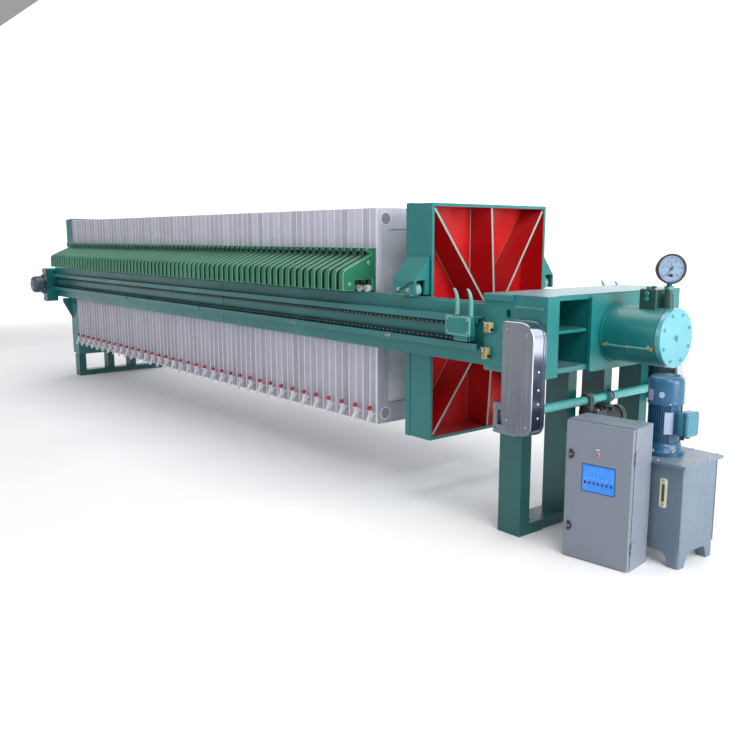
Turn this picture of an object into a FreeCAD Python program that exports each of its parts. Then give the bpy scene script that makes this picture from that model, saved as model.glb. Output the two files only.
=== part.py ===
# Plate filter press with its cylinder seat, plate-shifting drive, oil station and control cabinet.
# Millimetres, +Z up.  X runs along the press: -X is the fixed head (feed end), +X is the hydraulic
# cylinder end.  -Y is the service side with the cabinet.  Z = 0 is the floor.
# Lengths along X are first written from the open rim of the movable head (x = 0) and shifted by
# SHIFT_X at export, so that the origin is under the middle of the whole set.
import FreeCAD, Part
import os
import math

V = FreeCAD.Vector
os.makedirs("parts", exist_ok=True)

# ---------------------------------------------------------------- driving dimensions
PLATE_W = 1000.0          # filter plate, across the press
PLATE_H = 1350.0          # filter plate, upright
PLATE_N = 72              # plates in the pack
PITCH = 73.0              # one plate in the closed pack
PLATE_T = 71.4            # plate body, leaving the cloth joint open
PORT_R = 45.0             # corner ports of the plates
AXIS_Z = 1050.0           # press axis over the floor
STACK_X1 = -480.0         # face of the pack at the movable head
STACK_X0 = STACK_X1 - PLATE_N * PITCH

HEAD_X0 = -215.0          # front face of the movable head
HEAD_X1 = 0.0             # open rim of the movable head
HEAD_H = 1384.0
HEAD_W = 1000.0
HEAD_FRONT_T = 38.0
HEAD_WALL_T = 18.0
CLOSE_TRAVEL = 255.0      # movable head towards the pack
OPEN_TRAVEL = 300.0       # movable head towards the cylinder

BEAM_Y0 = 516.0           # inner face of a main beam
BEAM_Y1 = 566.0           # outer face of a main beam
BEAM_Z0 = 880.0
BEAM_Z1 = 1205.0
TRACK_Y1 = 622.0          # outer edge of the chain track

FIX_T = 200.0             # fixed head
FIX_X1 = STACK_X0
FIX_X0 = FIX_X1 - FIX_T
BEAM_X0 = FIX_X0 - 240.0

SEAT_X0 = 500.0           # cylinder seat, a box beam across the press
SEAT_X1 = 900.0
SEAT_Z0 = 872.0
SEAT_Z1 = 1262.0
SEAT_XE = 886.0           # end of its plates; the cheeks close over them
SEAT_Y = 584.0
SEAT_T = 26.0
CHEEK_T = 44.0

CYL_R = 150.0
CYL_BORE_R = 100.0
CYL_X0 = 560.0
CYL_X1 = 1222.0
CAP_X1 = 1254.0
ROD_R = 80.0
ROD_GAP = 0.05            # running clearance of rod and piston
PISTON_X0 = 866.0
PISTON_X1 = 906.0

SHAFT_X = 812.0           # plate-shifter drive shaft
SHAFT_Z = 682.0
SHAFT_R = 24.0
TAIL_X = BEAM_X0 + 10.0

CAB_W = 346.0
CAB_D = 195.0
CAB_H = 686.0
CAB_X = 1042.0            # front left foot of the cabinet
CAB_Y = -575.0
CAB_YAW = 7.5             # the cabinet stands slightly turned to the operator

TANK_X0, TANK_X1 = 1100.0, 1514.0
TANK_Y0, TANK_Y1 = -314.0, -8.0
TANK_Z0, TANK_Z1 = 68.0, 494.0

SHIFT_X = 2375.0          # moves the middle of the set onto the origin


# ---------------------------------------------------------------- helpers
def box(x0, x1, y0, y1, z0, z1):
    return Part.makeBox(x1 - x0, y1 - y0, z1 - z0, V(x0, y0, z0))


def cyl(r, p, axis, length):
    return Part.makeCylinder(r, length, V(*p), V(*axis))


def prism(pts, vec):
    w = Part.makePolygon([V(*p) for p in pts] + [V(*pts[0])])
    return Part.Face(w).extrude(V(*vec))


def flip(s):
    """the same piece on the other side of the press"""
    return s.mirror(V(0, 0, 0), V(0, 1, 0))


def both(s):
    return [s, flip(s)]


def soften(s, r, test):
    e = [k for k in s.Edges if test(k)]
    return s.makeFillet(r, e) if e else s


def chamfer(s, r, test):
    e = [k for k in s.Edges if test(k)]
    return s.makeChamfer(r, e) if e else s


def along(k, axis):
    if len(k.Vertexes) != 2:
        return False
    d = k.Vertexes[1].Point - k.Vertexes[0].Point
    c = [abs(d.x), abs(d.y), abs(d.z)]
    return c[axis] > 0.99 * d.Length


nodes = {}


def put(name, solids):
    if not isinstance(solids, list):
        solids = [solids]
    flat = []
    for s in solids:
        flat += s.Solids
    for s in flat:
        assert s.isValid(), name
        assert s.Volume > 0, name
    sh = flat[0] if len(flat) == 1 else Part.makeCompound(flat)
    nodes[name] = sh


# ---------------------------------------------------------------- fixed head at the feed end
fz0, fz1 = 246.0, AXIS_Z + HEAD_H / 2
fix = box(FIX_X0 + 120, FIX_X1, -HEAD_W / 2, HEAD_W / 2, fz0, fz1)
fix = chamfer(fix, 8, lambda k: along(k, 0))
feed = cyl(62, (FIX_X0 + 100, 0, AXIS_Z), (1, 0, 0), 300)
fix = fix.cut(feed)
put("fixed_head", fix)

# welded grid of stiffeners on its back
ribs = []
for y in (-491, -255, 225, 461):
    ribs.append(box(FIX_X0, FIX_X0 + 120, y, y + 30, fz0 + 6, fz1 - 6))
for z in (fz0 + 6, AXIS_Z - 240, AXIS_Z + 210, fz1 - 36):
    ribs.append(box(FIX_X0, FIX_X0 + 120, -491, 491, z, z + 30))
neck = cyl(78, (FIX_X0 - 40, 0, AXIS_Z), (1, 0, 0), 160).cut(cyl(62, (FIX_X0 - 50, 0, AXIS_Z), (1, 0, 0), 200))
flg = cyl(118, (FIX_X0 - 62, 0, AXIS_Z), (1, 0, 0), 22).cut(cyl(62, (FIX_X0 - 70, 0, AXIS_Z), (1, 0, 0), 60))
for k in range(8):
    a = math.radians(22.5 + 45 * k)
    flg = flg.cut(cyl(9, (FIX_X0 - 70, 98 * math.cos(a), AXIS_Z + 98 * math.sin(a)), (1, 0, 0), 60))
put("fixed_head_ribs", ribs[0].fuse(ribs[1:]).removeSplitter())
put("feed_flange", neck.fuse(flg).removeSplitter())

# ears that hold the beams to the fixed head
ear = prism([(FIX_X0 + 20, -500, 1300), (FIX_X0 + 20, -500, 800), (FIX_X0 + 20, -515.9, 820), (FIX_X0 + 20, -515.9, 1280)], (150, 0, 0))
gus = prism([(FIX_X0 + 60, -500, 1420), (FIX_X0 + 60, -500, 1212), (FIX_X0 + 60, -600, 1212), (FIX_X0 + 60, -600, 1240)], (26, 0, 0))
gus2 = prism([(FIX_X0 + 60, -500, 640), (FIX_X0 + 60, -500, 872), (FIX_X0 + 60, -600, 872), (FIX_X0 + 60, -600, 830)], (26, 0, 0))
put("beam_gussets", both(ear) + both(gus) + both(gus2))

# ---------------------------------------------------------------- legs
BAR_Z = 60.0
LEG_W = 76.0


def leg_frame(x0, x1, yo, yi, ztop):
    # two outer legs down to the floor, two inner ones on the bar that ties them
    legs = []
    for s_ in (-1, 1):
        legs.append(box(x0, x1, *sorted((s_ * yo, s_ * (yo - LEG_W))), 0, ztop))
        legs.append(box(x0, x1, *sorted((s_ * yi, s_ * (yi + LEG_W - 4))), BAR_Z, ztop))
    return legs


def tie_bar(x0, x1, yy):
    b = box(x0, x1, -yy, yy, 0, BAR_Z)
    b = b.cut(box(x0 - 1, x1 + 1, -yy + 110, yy - 110, -1, 8))
    for s_ in (-1, 1):
        for dx in (-40, 40):
            b = b.cut(cyl(9, ((x0 + x1) / 2 + dx, s_ * (yy - 46), -5), (0, 0, 1), 80))
    return b


rl = leg_frame(605, 755, 560, 124, SEAT_Z0)
under = box(600, 760, -561, -SEAT_Y + CHEEK_T, SEAT_Z0 - 12, SEAT_Z0 + 1)
rl = [k.cut(under).cut(flip(under)) for k in rl]
put("right_legs", rl)
lx0, lx1 = FIX_X0 + 60, FIX_X0 + 180
put("left_legs", leg_frame(lx0, lx1, 496, 94, fz0))
put("base_bars", [tie_bar(605, 755, 560 - LEG_W), tie_bar(lx0, lx1, 496 - LEG_W)])

# ---------------------------------------------------------------- main beams and chain tracks
beam = box(BEAM_X0, SEAT_X0, -BEAM_Y1, -BEAM_Y0, BEAM_Z0, BEAM_Z1)
beam = chamfer(beam, 4, lambda k: along(k, 0))
rail = box(FIX_X1 + 6, SEAT_X0 - 6, -BEAM_Y1 + 6, -BEAM_Y0 - 6, BEAM_Z1, BEAM_Z1 + 8)
put("main_beams", both(beam.fuse(rail).removeSplitter()))


def angle_track(zf, up):
    # rolled angle: the flange stands out from the beam, its lip turned towards the chain
    f = box(BEAM_X0 + 60, SEAT_X0 - 20, -TRACK_Y1, -BEAM_Y1, zf, zf + 7)
    if up:
        lip = box(BEAM_X0 + 60, SEAT_X0 - 20, -TRACK_Y1, -TRACK_Y1 + 7, zf, zf + 34)
    else:
        lip = box(BEAM_X0 + 60, SEAT_X0 - 20, -TRACK_Y1, -TRACK_Y1 + 7, zf - 27, zf + 7)
    return f.fuse(lip).removeSplitter()


put("chain_tracks", both(angle_track(1128, False)) + both(angle_track(960, True)))

# tail sprocket cases at the feed end of the beams
TAIL_Y1 = 690.0
TAIL_Z = 1018.0
t = box(BEAM_X0 - 60, BEAM_X0 + 58, -TAIL_Y1, -BEAM_Y1, 826, 1196)
t = soften(t, 24, lambda k: along(k, 1))
m = cyl(92, (TAIL_X - 10, -TAIL_Y1, TAIL_Z), (0, -1, 0), 140)
m = soften(m, 40, lambda k: abs(k.BoundBox.YMin + TAIL_Y1 + 140) < 1 and k.BoundBox.YLength < 1)
ring = cyl(106, (TAIL_X - 10, -TAIL_Y1, TAIL_Z), (0, -1, 0), 26)
put("tail_sprocket_cases", both(t.fuse([m, ring]).removeSplitter()))

# ---------------------------------------------------------------- filter plates
pz0, pz1 = AXIS_Z - PLATE_H / 2, AXIS_Z + PLATE_H / 2
plates = []
for i in range(1, PLATE_N):
    x1 = STACK_X1 - i * PITCH
    plates.append(box(x1 - PLATE_T, x1, -PLATE_W / 2, PLATE_W / 2, pz0, pz1))
put("filter_plates", plates)
last = box(STACK_X1 - PLATE_T, STACK_X1, -PLATE_W / 2, PLATE_W / 2, pz0, pz1)
fld = box(STACK_X1 - 14, STACK_X1 + 1, -PLATE_W / 2 + 90, PLATE_W / 2 - 90, pz0 + 130, pz1 - 130)
last = last.cut(fld)
for sy in (-1, 1):
    for zz in (pz0 + 66, pz1 - 66):
        last = last.cut(cyl(PORT_R * 0.8, (STACK_X1 - 200, sy * (PLATE_W / 2 - 66), zz), (1, 0, 0), 300))
last = last.cut(cyl(62, (STACK_X1 - 200, 0, AXIS_Z), (1, 0, 0), 300))
put("end_filter_plate", last)

# handles: one casting each side of every plate, hooked over the rail
HANDLE_T = 44.0
# side view (y, z): tab at the top, slanted back, an outer lobe beside the rail and a notch that spans it
hprof = [(-500, 1482), (-576, 1482), (-576, 1462), (-540, 1455), (-540, 1442), (-556, 1434), (-736, 1354), (-749, 1343), (-756, 1324),
         (-756, 1228), (-668, 1228), (-664, 1236), (-664, 1292), (-530, 1292), (-530, 1222), (-500, 1222)]
ROLL_R = 22.0
hn = []
for i in range(PLATE_N):
    xc = STACK_X1 - i * PITCH - PLATE_T / 2
    g = prism([(xc - HANDLE_T / 2, y, z) for y, z in hprof], (HANDLE_T, 0, 0))
    zr = BEAM_Z1 + 8.4 + ROLL_R
    g = g.fuse([cyl(ROLL_R, (xc, -562, zr), (0, 1, 0), 26), cyl(8, (xc, -568, zr), (0, 1, 0), 39)]).removeSplitter()
    hn.append(g)
put("plate_handles_near", hn)
put("plate_handles_far", [flip(s) for s in hn])

# drain taps: on every second plate on the near side, on the others on the far side
tn, kn, tf, kf = [], [], [], []
for i in range(PLATE_N):
    xc = STACK_X1 - i * PITCH - PLATE_T / 2
    stub = cyl(11, (xc, -500, 440), (0, -1, 0), 34)
    bodyb = cyl(16, (xc, -534, 468), (0, 0.26, -1), 56)
    spout = cyl(11, (xc, -536, 432), (0, -0.42, -1), 62)
    tap = stub.fuse(bodyb).fuse(spout).removeSplitter()
    knob = cyl(17, (xc, -534, 468), (0, -0.26, 1), 24)
    if i % 2 == 0:
        tn.append(tap)
        kn.append(knob)
    else:
        tf.append(flip(tap))
        kf.append(flip(knob))
put("drain_taps", tn + tf)
put("tap_knobs", kn + kf)

# ---------------------------------------------------------------- movable head
hz0, hz1 = AXIS_Z - HEAD_H / 2, AXIS_Z + HEAD_H / 2
hy = HEAD_W / 2
front = box(HEAD_X0, HEAD_X0 + HEAD_FRONT_T, -hy, hy, hz0, hz1)
front = chamfer(front, 5, lambda k: along(k, 0))
put("head_front_plate", front)
wx0 = HEAD_X0 + HEAD_FRONT_T
put("head_side_walls", both(box(wx0, HEAD_X1, -hy + 4, -hy + 4 + HEAD_WALL_T, hz0 + 4, hz1 - 4)))
put("head_top_bottom_walls", [box(wx0, HEAD_X1, -hy + 4 + HEAD_WALL_T, hy - 4 - HEAD_WALL_T, hz0 + 4, hz0 + 4 + HEAD_WALL_T),
                              box(wx0, HEAD_X1, -hy + 4 + HEAD_WALL_T, hy - 4 - HEAD_WALL_T, hz1 - 4 - HEAD_WALL_T, hz1 - 4)])
HUB_R = 150.0
iy, iz = hy - 4 - HEAD_WALL_T, HEAD_H / 2 - 4 - HEAD_WALL_T
rib_t = 14.0
rr = []
for ty, tz in ((0, iz), (0, -iz), (iy, 0), (-iy, 0), (iy, iz), (-iy, iz), (iy, -iz), (-iy, -iz)):
    # each rib runs from the hub to the wall or corner and stands higher at the hub
    a = math.atan2(tz, ty)
    ca, sa = math.cos(a), math.sin(a)
    r1 = math.hypot(ty, tz) - (16 if ty and tz else 0)
    pts = [(wx0, HUB_R - 30), (wx0, r1), (HEAD_X1 - 6, r1), (HEAD_X1 + 28, HUB_R - 30)]
    rr.append(prism([(x, r * ca + rib_t / 2 * sa, AXIS_Z + r * sa - rib_t / 2 * ca) for x, r in pts], (0, -rib_t * sa, rib_t * ca)))
hub = cyl(HUB_R, (wx0, 0, AXIS_Z), (1, 0, 0), HEAD_X1 + 40 - wx0)
hub = hub.cut(cyl(ROD_R, (wx0 + 60, 0, AXIS_Z), (1, 0, 0), 400))
put("head_ribs", hub.fuse(rr).removeSplitter())

# side arms that carry the head on the rails, with their rollers
# side arm: a plate leaning out from the wall and dropping beside the rail, closed by two end webs
ARM_X0, ARM_X1 = -205.0, -15.0
skin = prism([(ARM_X0, y, z) for y, z in ((-500, 1438), (-612, 1302), (-612, 1222), (-600, 1222), (-600, 1298), (-500, 1419))], (ARM_X1 - ARM_X0, 0, 0))
webs = []
for xa in (ARM_X0, ARM_X1 - 14):
    w = prism([(xa, y, z) for y, z in ((-500, 1430), (-606, 1300), (-606, 1222), (-598, 1222), (-598, 1304), (-534, 1304), (-534, 1222), (-500, 1222))], (14, 0, 0))
    webs.append(w)
put("head_side_arms", both(skin.fuse(webs).removeSplitter()))
roll = []
for xr in (-150, -70):
    zr = BEAM_Z1 + 8.4 + 36
    r_ = cyl(36, (xr, -592, zr), (0, 1, 0), 54).fuse([cyl(10, (xr, -600, zr), (0, 1, 0), 10), cyl(10, (xr, -540, zr), (0, 1, 0), 40)])
    roll.append(r_.removeSplitter())
put("head_rollers", [s for r_ in roll for s in both(r_)])

rod = cyl(ROD_R, (wx0 + 60.5, 0, AXIS_Z), (1, 0, 0), PISTON_X0 - wx0 - 60.5)
pist = cyl(CYL_BORE_R - ROD_GAP, (PISTON_X0, 0, AXIS_Z), (1, 0, 0), PISTON_X1 - PISTON_X0)
put("piston_rod", rod.fuse(pist).removeSplitter())

# ---------------------------------------------------------------- cylinder seat
fp = box(SEAT_X0, SEAT_X0 + SEAT_T, -SEAT_Y + CHEEK_T, SEAT_Y - CHEEK_T, SEAT_Z0 + SEAT_T, SEAT_Z1 - SEAT_T)
fp = fp.cut(cyl(104, (SEAT_X0 - 5, 0, AXIS_Z), (1, 0, 0), 60))
put("seat_front_plate", fp)
tp = box(SEAT_X0, SEAT_XE, -SEAT_Y + CHEEK_T, SEAT_Y - CHEEK_T, SEAT_Z1 - SEAT_T, SEAT_Z1)
bp = box(SEAT_X0, SEAT_XE, -SEAT_Y + CHEEK_T, SEAT_Y - CHEEK_T, SEAT_Z0, SEAT_Z0 + SEAT_T)
put("seat_top_bottom_plates", [tp, bp])
ck = box(SEAT_X0, SEAT_XE, -SEAT_Y, -SEAT_Y + CHEEK_T, SEAT_Z0 - 12, SEAT_Z1)
slot = box(SEAT_X0 + 150, SEAT_X0 + 178, -SEAT_Y - 1, -SEAT_Y + CHEEK_T + 1, 1157, 1173)
slot = slot.fuse([cyl(14, (SEAT_X0 + 164, -SEAT_Y - 1, z), (0, 1, 0), CHEEK_T + 2) for z in (1157, 1173)])
ck = ck.cut(slot)
post = box(SEAT_XE, SEAT_X1 + 12, -SEAT_Y, -SEAT_Y + 90, SEAT_Z0 - 12, SEAT_Z1)
pad = box(SEAT_X0 + 5, SEAT_X0 + 200, -SEAT_Y - 16, -SEAT_Y, 1226, SEAT_Z1)
ck = ck.fuse([post, chamfer(pad, 3, lambda k: k.BoundBox.YMax < -SEAT_Y - 15)]).removeSplitter()
put("seat_cheeks", both(ck))
sh = box(SEAT_X0 + 60, SEAT_XE - 8, -SEAT_Y + CHEEK_T, -216, AXIS_Z + 20, AXIS_Z + 36)
wb = box(SEAT_X0 + SEAT_T, SEAT_XE, -216, -194, SEAT_Z0 + SEAT_T, SEAT_Z1 - SEAT_T)
put("seat_inner_plates", both(sh.fuse(wb).removeSplitter()))

# ---------------------------------------------------------------- hydraulic cylinder
tube = cyl(CYL_R, (CYL_X0, 0, AXIS_Z), (1, 0, 0), CYL_X1 - CYL_X0)
tube = tube.cut(cyl(CYL_BORE_R, (CYL_X0 + 40, 0, AXIS_Z), (1, 0, 0), CYL_X1 - CYL_X0))
tube = tube.cut(cyl(ROD_R + ROD_GAP, (CYL_X0 - 10, 0, AXIS_Z), (1, 0, 0), 100))
fl = box(SEAT_XE, SEAT_XE + 20, -226, 226, AXIS_Z - 190, AXIS_Z + 204)
fl = chamfer(fl, 10, lambda k: along(k, 0))
fl = fl.cut(cyl(CYL_R, (SEAT_XE - 5, 0, AXIS_Z), (1, 0, 0), 60))
col = cyl(CYL_R + 10, (SEAT_XE + 20, 0, AXIS_Z), (1, 0, 0), 12).cut(cyl(CYL_R, (SEAT_XE - 5, 0, AXIS_Z), (1, 0, 0), 90))
put("cylinder_body", tube.fuse([fl, col]).removeSplitter())
cap = cyl(CYL_R, (CYL_X1, 0, AXIS_Z), (1, 0, 0), CAP_X1 - CYL_X1)
cap = soften(cap, 6, lambda k: abs(k.BoundBox.XMin - CAP_X1) < 0.5 and k.BoundBox.XLength < 0.5)
cap = cap.cut(cyl(9, (CAP_X1 - 12, 0, AXIS_Z), (1, 0, 0), 30))
put("cylinder_end_cap", cap)

GAUGE_X, GAUGE_Z, GAUGE_R, GAUGE_TURN = 1196.0, 1392.0, 76.0, 52.0


def turned(s):
    s = s.copy()
    s.rotate(V(GAUGE_X, 0, 0), V(0, 0, 1), GAUGE_TURN)
    return s


drum = turned(cyl(GAUGE_R, (GAUGE_X, 24, GAUGE_Z), (0, -1, 0), 46))
blk = box(1067, 1164, -60, 60, AXIS_Z + 120, AXIS_Z + 238)
blk = soften(blk, 8, lambda k: along(k, 2))
st = cyl(27, (GAUGE_X, 0, AXIS_Z + 120), (0, 0, 1), 96).fuse([cyl(20, (GAUGE_X, 0, AXIS_Z + 216), (0, 0, 1), 30), cyl(13, (GAUGE_X, 0, AXIS_Z + 246), (0, 0, 1), 40)])
lug = box(1164, GAUGE_X, -18, 18, AXIS_Z + 140, AXIS_Z + 190)
blk = blk.fuse([lug, st]).cut(cyl(CYL_R, (CYL_X0, 0, AXIS_Z), (1, 0, 0), 900)).cut(drum).removeSplitter()
put("valve_block", blk)
g = soften(cyl(GAUGE_R, (GAUGE_X, 24, GAUGE_Z), (0, -1, 0), 46), 5, lambda k: k.BoundBox.YLength < 0.5)
g = g.cut(cyl(66, (GAUGE_X, -14, GAUGE_Z), (0, -1, 0), 30))
put("pressure_gauge", turned(g))

# ---------------------------------------------------------------- plate-shifter drive
def oblong(x, r, z0, z1, y0, y1):
    return box(x - r, x + r, y0, y1, z0, z1).fuse([cyl(r, (x, y0, z0), (0, 1, 0), y1 - y0), cyl(r, (x, y0, z1), (0, 1, 0), y1 - y0)]).removeSplitter()


cy0, cy1 = -SEAT_Y - 100, -SEAT_Y
# case over the cross chain: straight sides, one tight corner and three wide ones
case = box(712, 912, cy0, cy1, 578, 1140)
for xx, zz, r in ((712, 1140, 20), (912, 1140, 80), (912, 578, 56), (712, 578, 84)):
    case = soften(case, r, lambda k: along(k, 1) and abs(k.BoundBox.XMin - xx) < 0.5 and abs(k.BoundBox.ZMin - zz) < 0.5)
case = soften(case, 6, lambda k: abs(k.BoundBox.YMin - cy0) < 0.5 and k.BoundBox.YLength < 0.5)
bore = cyl(SHAFT_R + 0.05, (SHAFT_X, cy0 + 20, SHAFT_Z), (0, 1, 0), 400)
case = case.cut(bore)
put("chain_cases", both(case))
brk = box(575, 730, -SEAT_Y, -560, 538, 698)
brk = soften(brk, 10, lambda k: along(k, 1) and k.BoundBox.XMax < 600)
brk = brk.cut(box(604, 640, -600, -550, 584, 662))
put("case_brackets", both(brk))
shaft = cyl(SHAFT_R, (SHAFT_X, cy0 + 26, SHAFT_Z), (0, 1, 0), -2 * (cy0 + 26))
disc = cyl(34, (SHAFT_X, -86, SHAFT_Z), (0, 1, 0), 16).fuse([cyl(40, (SHAFT_X, 46, SHAFT_Z), (0, 1, 0), 20), cyl(32, (SHAFT_X, 66, SHAFT_Z), (0, 1, 0), 16)])
put("drive_shaft", shaft.fuse(disc).removeSplitter())
# gear motor on a shelf behind the shaft, its chain guard reaching up round the shaft
GM_Z = 566.0
guard = oblong(SHAFT_X, 34, GM_Z, SHAFT_Z, -122, -92)
gb = box(SHAFT_X - 60, SHAFT_X + 60, -92, -6, GM_Z - 58, GM_Z + 58)
gb = soften(gb, 12, lambda k: along(k, 1))
mot = cyl(50, (SHAFT_X, -7, GM_Z), (0, 1, 0), 197)
mot = soften(mot, 10, lambda k: abs(k.BoundBox.YMax - 190) < 0.5 and k.BoundBox.YLength < 0.5)
tbx = box(SHAFT_X - 34, SHAFT_X + 34, 20, 92, GM_Z + 30, GM_Z + 68)
foot = box(SHAFT_X - 50, SHAFT_X + 50, 10, 150, GM_Z - 60, GM_Z - 30)
shelf2 = box(755, 880, -84, 172, GM_Z - 72, GM_Z - 58)
ribb = prism([(755, 140, GM_Z - 72), (755, 140, GM_Z - 172), (860, 140, GM_Z - 72)], (0, 14, 0))
gm = gb.fuse([guard, mot, tbx, foot, shelf2, ribb]).cut(cyl(SHAFT_R + 0.05, (SHAFT_X, -200, SHAFT_Z), (0, 1, 0), 600)).removeSplitter()
put("gear_motor", gm)

# carriages that pull the plates, one on each track
PX = 385.0
PY = -TRACK_Y1 - 6
car = box(PX - 95, PX + 90, PY - 40, PY, 1036, 1138)
car = soften(car, 8, lambda k: along(k, 1))
arm1 = box(PX - 50, PX + 50, PY, -BEAM_Y1 - 14, 1006, 1086)
stay = box(PX - 50, PX + 50, PY - 20, PY, 1006, 1060)
hooks = []
for xx in (PX - 34, PX + 66):
    hk = prism([(xx, PY - 26, 1130), (xx + 22, PY - 26, 1130), (xx + 24, PY - 26, 1190), (xx + 10, PY - 26, 1262), (xx - 16, PY - 26, 1284), (xx - 20, PY - 26, 1276), (xx - 2, PY - 26, 1246), (xx + 2, PY - 26, 1190)], (0, 14, 0))
    hooks.append(hk)
car = car.fuse([arm1, stay] + hooks).removeSplitter()
put("puller_near", car)
put("puller_far", flip(car))

# limit switches on a bracket at the end of the near track
ls = box(SEAT_X0 + 26, SEAT_X0 + 68, -SEAT_Y - 36, -SEAT_Y, 1062, 1112)
ls2 = box(SEAT_X0 + 14, SEAT_X0 + 46, -SEAT_Y - 34, -SEAT_Y, 922, 980)
put("limit_switches", [ls, ls2])

# ---------------------------------------------------------------- control cabinet
T = 14.0


def cab(s):
    s = s.copy()
    s.translate(V(CAB_X, CAB_Y, 0))
    s.rotate(V(CAB_X, CAB_Y, 0), V(0, 0, 1), CAB_YAW)
    return s


DOOR_T = 20.0
y_front = DOOR_T + 4
put("cabinet_back", cab(box(T, CAB_W - T, CAB_D - T, CAB_D, T, CAB_H - T)))
# barrel hinges stand off the right edge: the middle knuckle is the door's, the outer two the cabinet's
HINGE_X, HINGE_Y = CAB_W + 5.5, DOOR_T
HINGE_Z = (110.0, CAB_H - 140.0)
wall_r = box(CAB_W - T, CAB_W, y_front, CAB_D, T, CAB_H - T)
kn_f, kn_d = [], []
for hz in HINGE_Z:
    for z0, z1 in ((hz - 26, hz - 11), (hz + 11, hz + 26)):
        kn_f.append(cyl(5, (HINGE_X, HINGE_Y, z0), (0, 0, 1), z1 - z0))
        kn_f.append(box(CAB_W - 4, HINGE_X, y_front, y_front + 1, z0, z1).fuse(box(CAB_W, HINGE_X, HINGE_Y + 0.5, y_front + 1, z0, z1)))
    kn_d.append(cyl(5, (HINGE_X, HINGE_Y, hz - 10), (0, 0, 1), 20))
    kn_d.append(box(CAB_W - 6, HINGE_X, HINGE_Y - 4.5, HINGE_Y - 0.5, hz - 10, hz + 10))
put("cabinet_sides", [cab(box(0, T, y_front, CAB_D, T, CAB_H - T)), cab(wall_r.fuse(kn_f).removeSplitter())])
put("cabinet_top_and_base", [cab(box(0, CAB_W, y_front, CAB_D, 0, T)), cab(box(0, CAB_W, y_front, CAB_D, CAB_H - T, CAB_H))])
door = box(2, CAB_W - 2, 0, DOOR_T, 6, CAB_H - 3)
door = chamfer(door, 3, lambda k: along(k, 2) and k.BoundBox.YMax < 1)
put("cabinet_door", cab(door.fuse(kn_d).removeSplitter()))

# ---------------------------------------------------------------- oil station
tb = box(TANK_X0, TANK_X1, TANK_Y0, TANK_Y1, 0, TANK_Z1)
tb = soften(tb, 14, lambda k: along(k, 2))


def foot_gap(u0, u1):
    # opening between two feet: the sides lean in and run into the underside in a curve
    pts = [(u0 + 52, -1), (u0 + 58, 22)]
    for k in range(5):
        a = math.pi / 2 * k / 4
        pts.append((u0 + 62 + 34 * (1 - math.cos(a)), 22 + (TANK_Z0 - 22) * math.sin(a)))
    return pts + [(u0 + u1 - u, z) for u, z in reversed(pts)]


gx = prism([(u, TANK_Y0 - 5, z) for u, z in foot_gap(TANK_X0, TANK_X1)], (0, TANK_Y1 - TANK_Y0 + 10, 0))
gy = prism([(TANK_X0 - 5, u, z) for u, z in foot_gap(TANK_Y0, TANK_Y1)], (TANK_X1 - TANK_X0 + 10, 0, 0))
put("oil_tank", tb.cut(gx.fuse(gy)))
lid = box(TANK_X0 - 18, TANK_X1 + 18, TANK_Y0 - 18, TANK_Y1 + 18, TANK_Z1, TANK_Z1 + 14)
put("tank_lid", lid)
MX, MY = 1316.0, -170.0
mz0 = TANK_Z1 + 14
mf = cyl(98, (MX, MY, mz0), (0, 0, 1), 22)
ml = Part.makeCone(96, 80, 40, V(MX, MY, mz0 + 20), V(0, 0, 1))
mb = cyl(80, (MX, MY, mz0 + 56), (0, 0, 1), 196)
mc = cyl(86, (MX, MY, mz0 + 250), (0, 0, 1), 134)
mc = soften(mc, 28, lambda k: abs(k.BoundBox.ZMin - (mz0 + 384)) < 0.5 and k.BoundBox.ZLength < 0.5)
neck_ = box(MX + 56, MX + 106, MY - 40, MY + 40, mz0 + 112, mz0 + 212)
tbx = soften(box(MX + 96, MX + 152, MY - 52, MY + 52, mz0 + 104, mz0 + 224), 8, lambda k: along(k, 0))
put("pump_motor", mf.fuse([ml, mb, mc, neck_, tbx]).removeSplitter())

# ---------------------------------------------------------------- export
total = None
for name, sh_ in nodes.items():
    s = sh_.copy()
    s.translate(V(SHIFT_X, 0, 0))
    s.exportStep("parts/%s.step" % name)
    bb = s.BoundBox
    total = FreeCAD.BoundBox(bb) if total is None else total.united(bb)
print("nodes", len(nodes))
print("box", total)
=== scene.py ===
import math
import random
import bpy
import bmesh
from mathutils import Vector, Matrix


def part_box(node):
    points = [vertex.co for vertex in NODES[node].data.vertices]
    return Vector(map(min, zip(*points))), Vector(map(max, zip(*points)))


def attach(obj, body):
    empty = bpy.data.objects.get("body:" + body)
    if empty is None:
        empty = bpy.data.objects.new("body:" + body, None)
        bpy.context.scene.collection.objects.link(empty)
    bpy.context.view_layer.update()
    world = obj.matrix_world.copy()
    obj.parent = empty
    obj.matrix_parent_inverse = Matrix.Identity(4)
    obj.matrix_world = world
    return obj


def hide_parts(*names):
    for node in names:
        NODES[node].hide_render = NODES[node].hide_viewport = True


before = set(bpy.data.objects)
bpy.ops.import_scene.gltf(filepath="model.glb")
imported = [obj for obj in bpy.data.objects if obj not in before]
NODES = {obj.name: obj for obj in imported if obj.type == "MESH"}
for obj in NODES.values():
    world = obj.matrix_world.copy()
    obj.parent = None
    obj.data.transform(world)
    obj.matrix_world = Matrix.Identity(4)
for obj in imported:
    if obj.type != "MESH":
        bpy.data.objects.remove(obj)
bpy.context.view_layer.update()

R = random.Random(7)


# =====================================================================================
#  frame positions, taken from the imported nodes
# =====================================================================================
def B(node):
    lo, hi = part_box(node)
    return lo.x, hi.x, lo.y, hi.y, lo.z, hi.z


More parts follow.
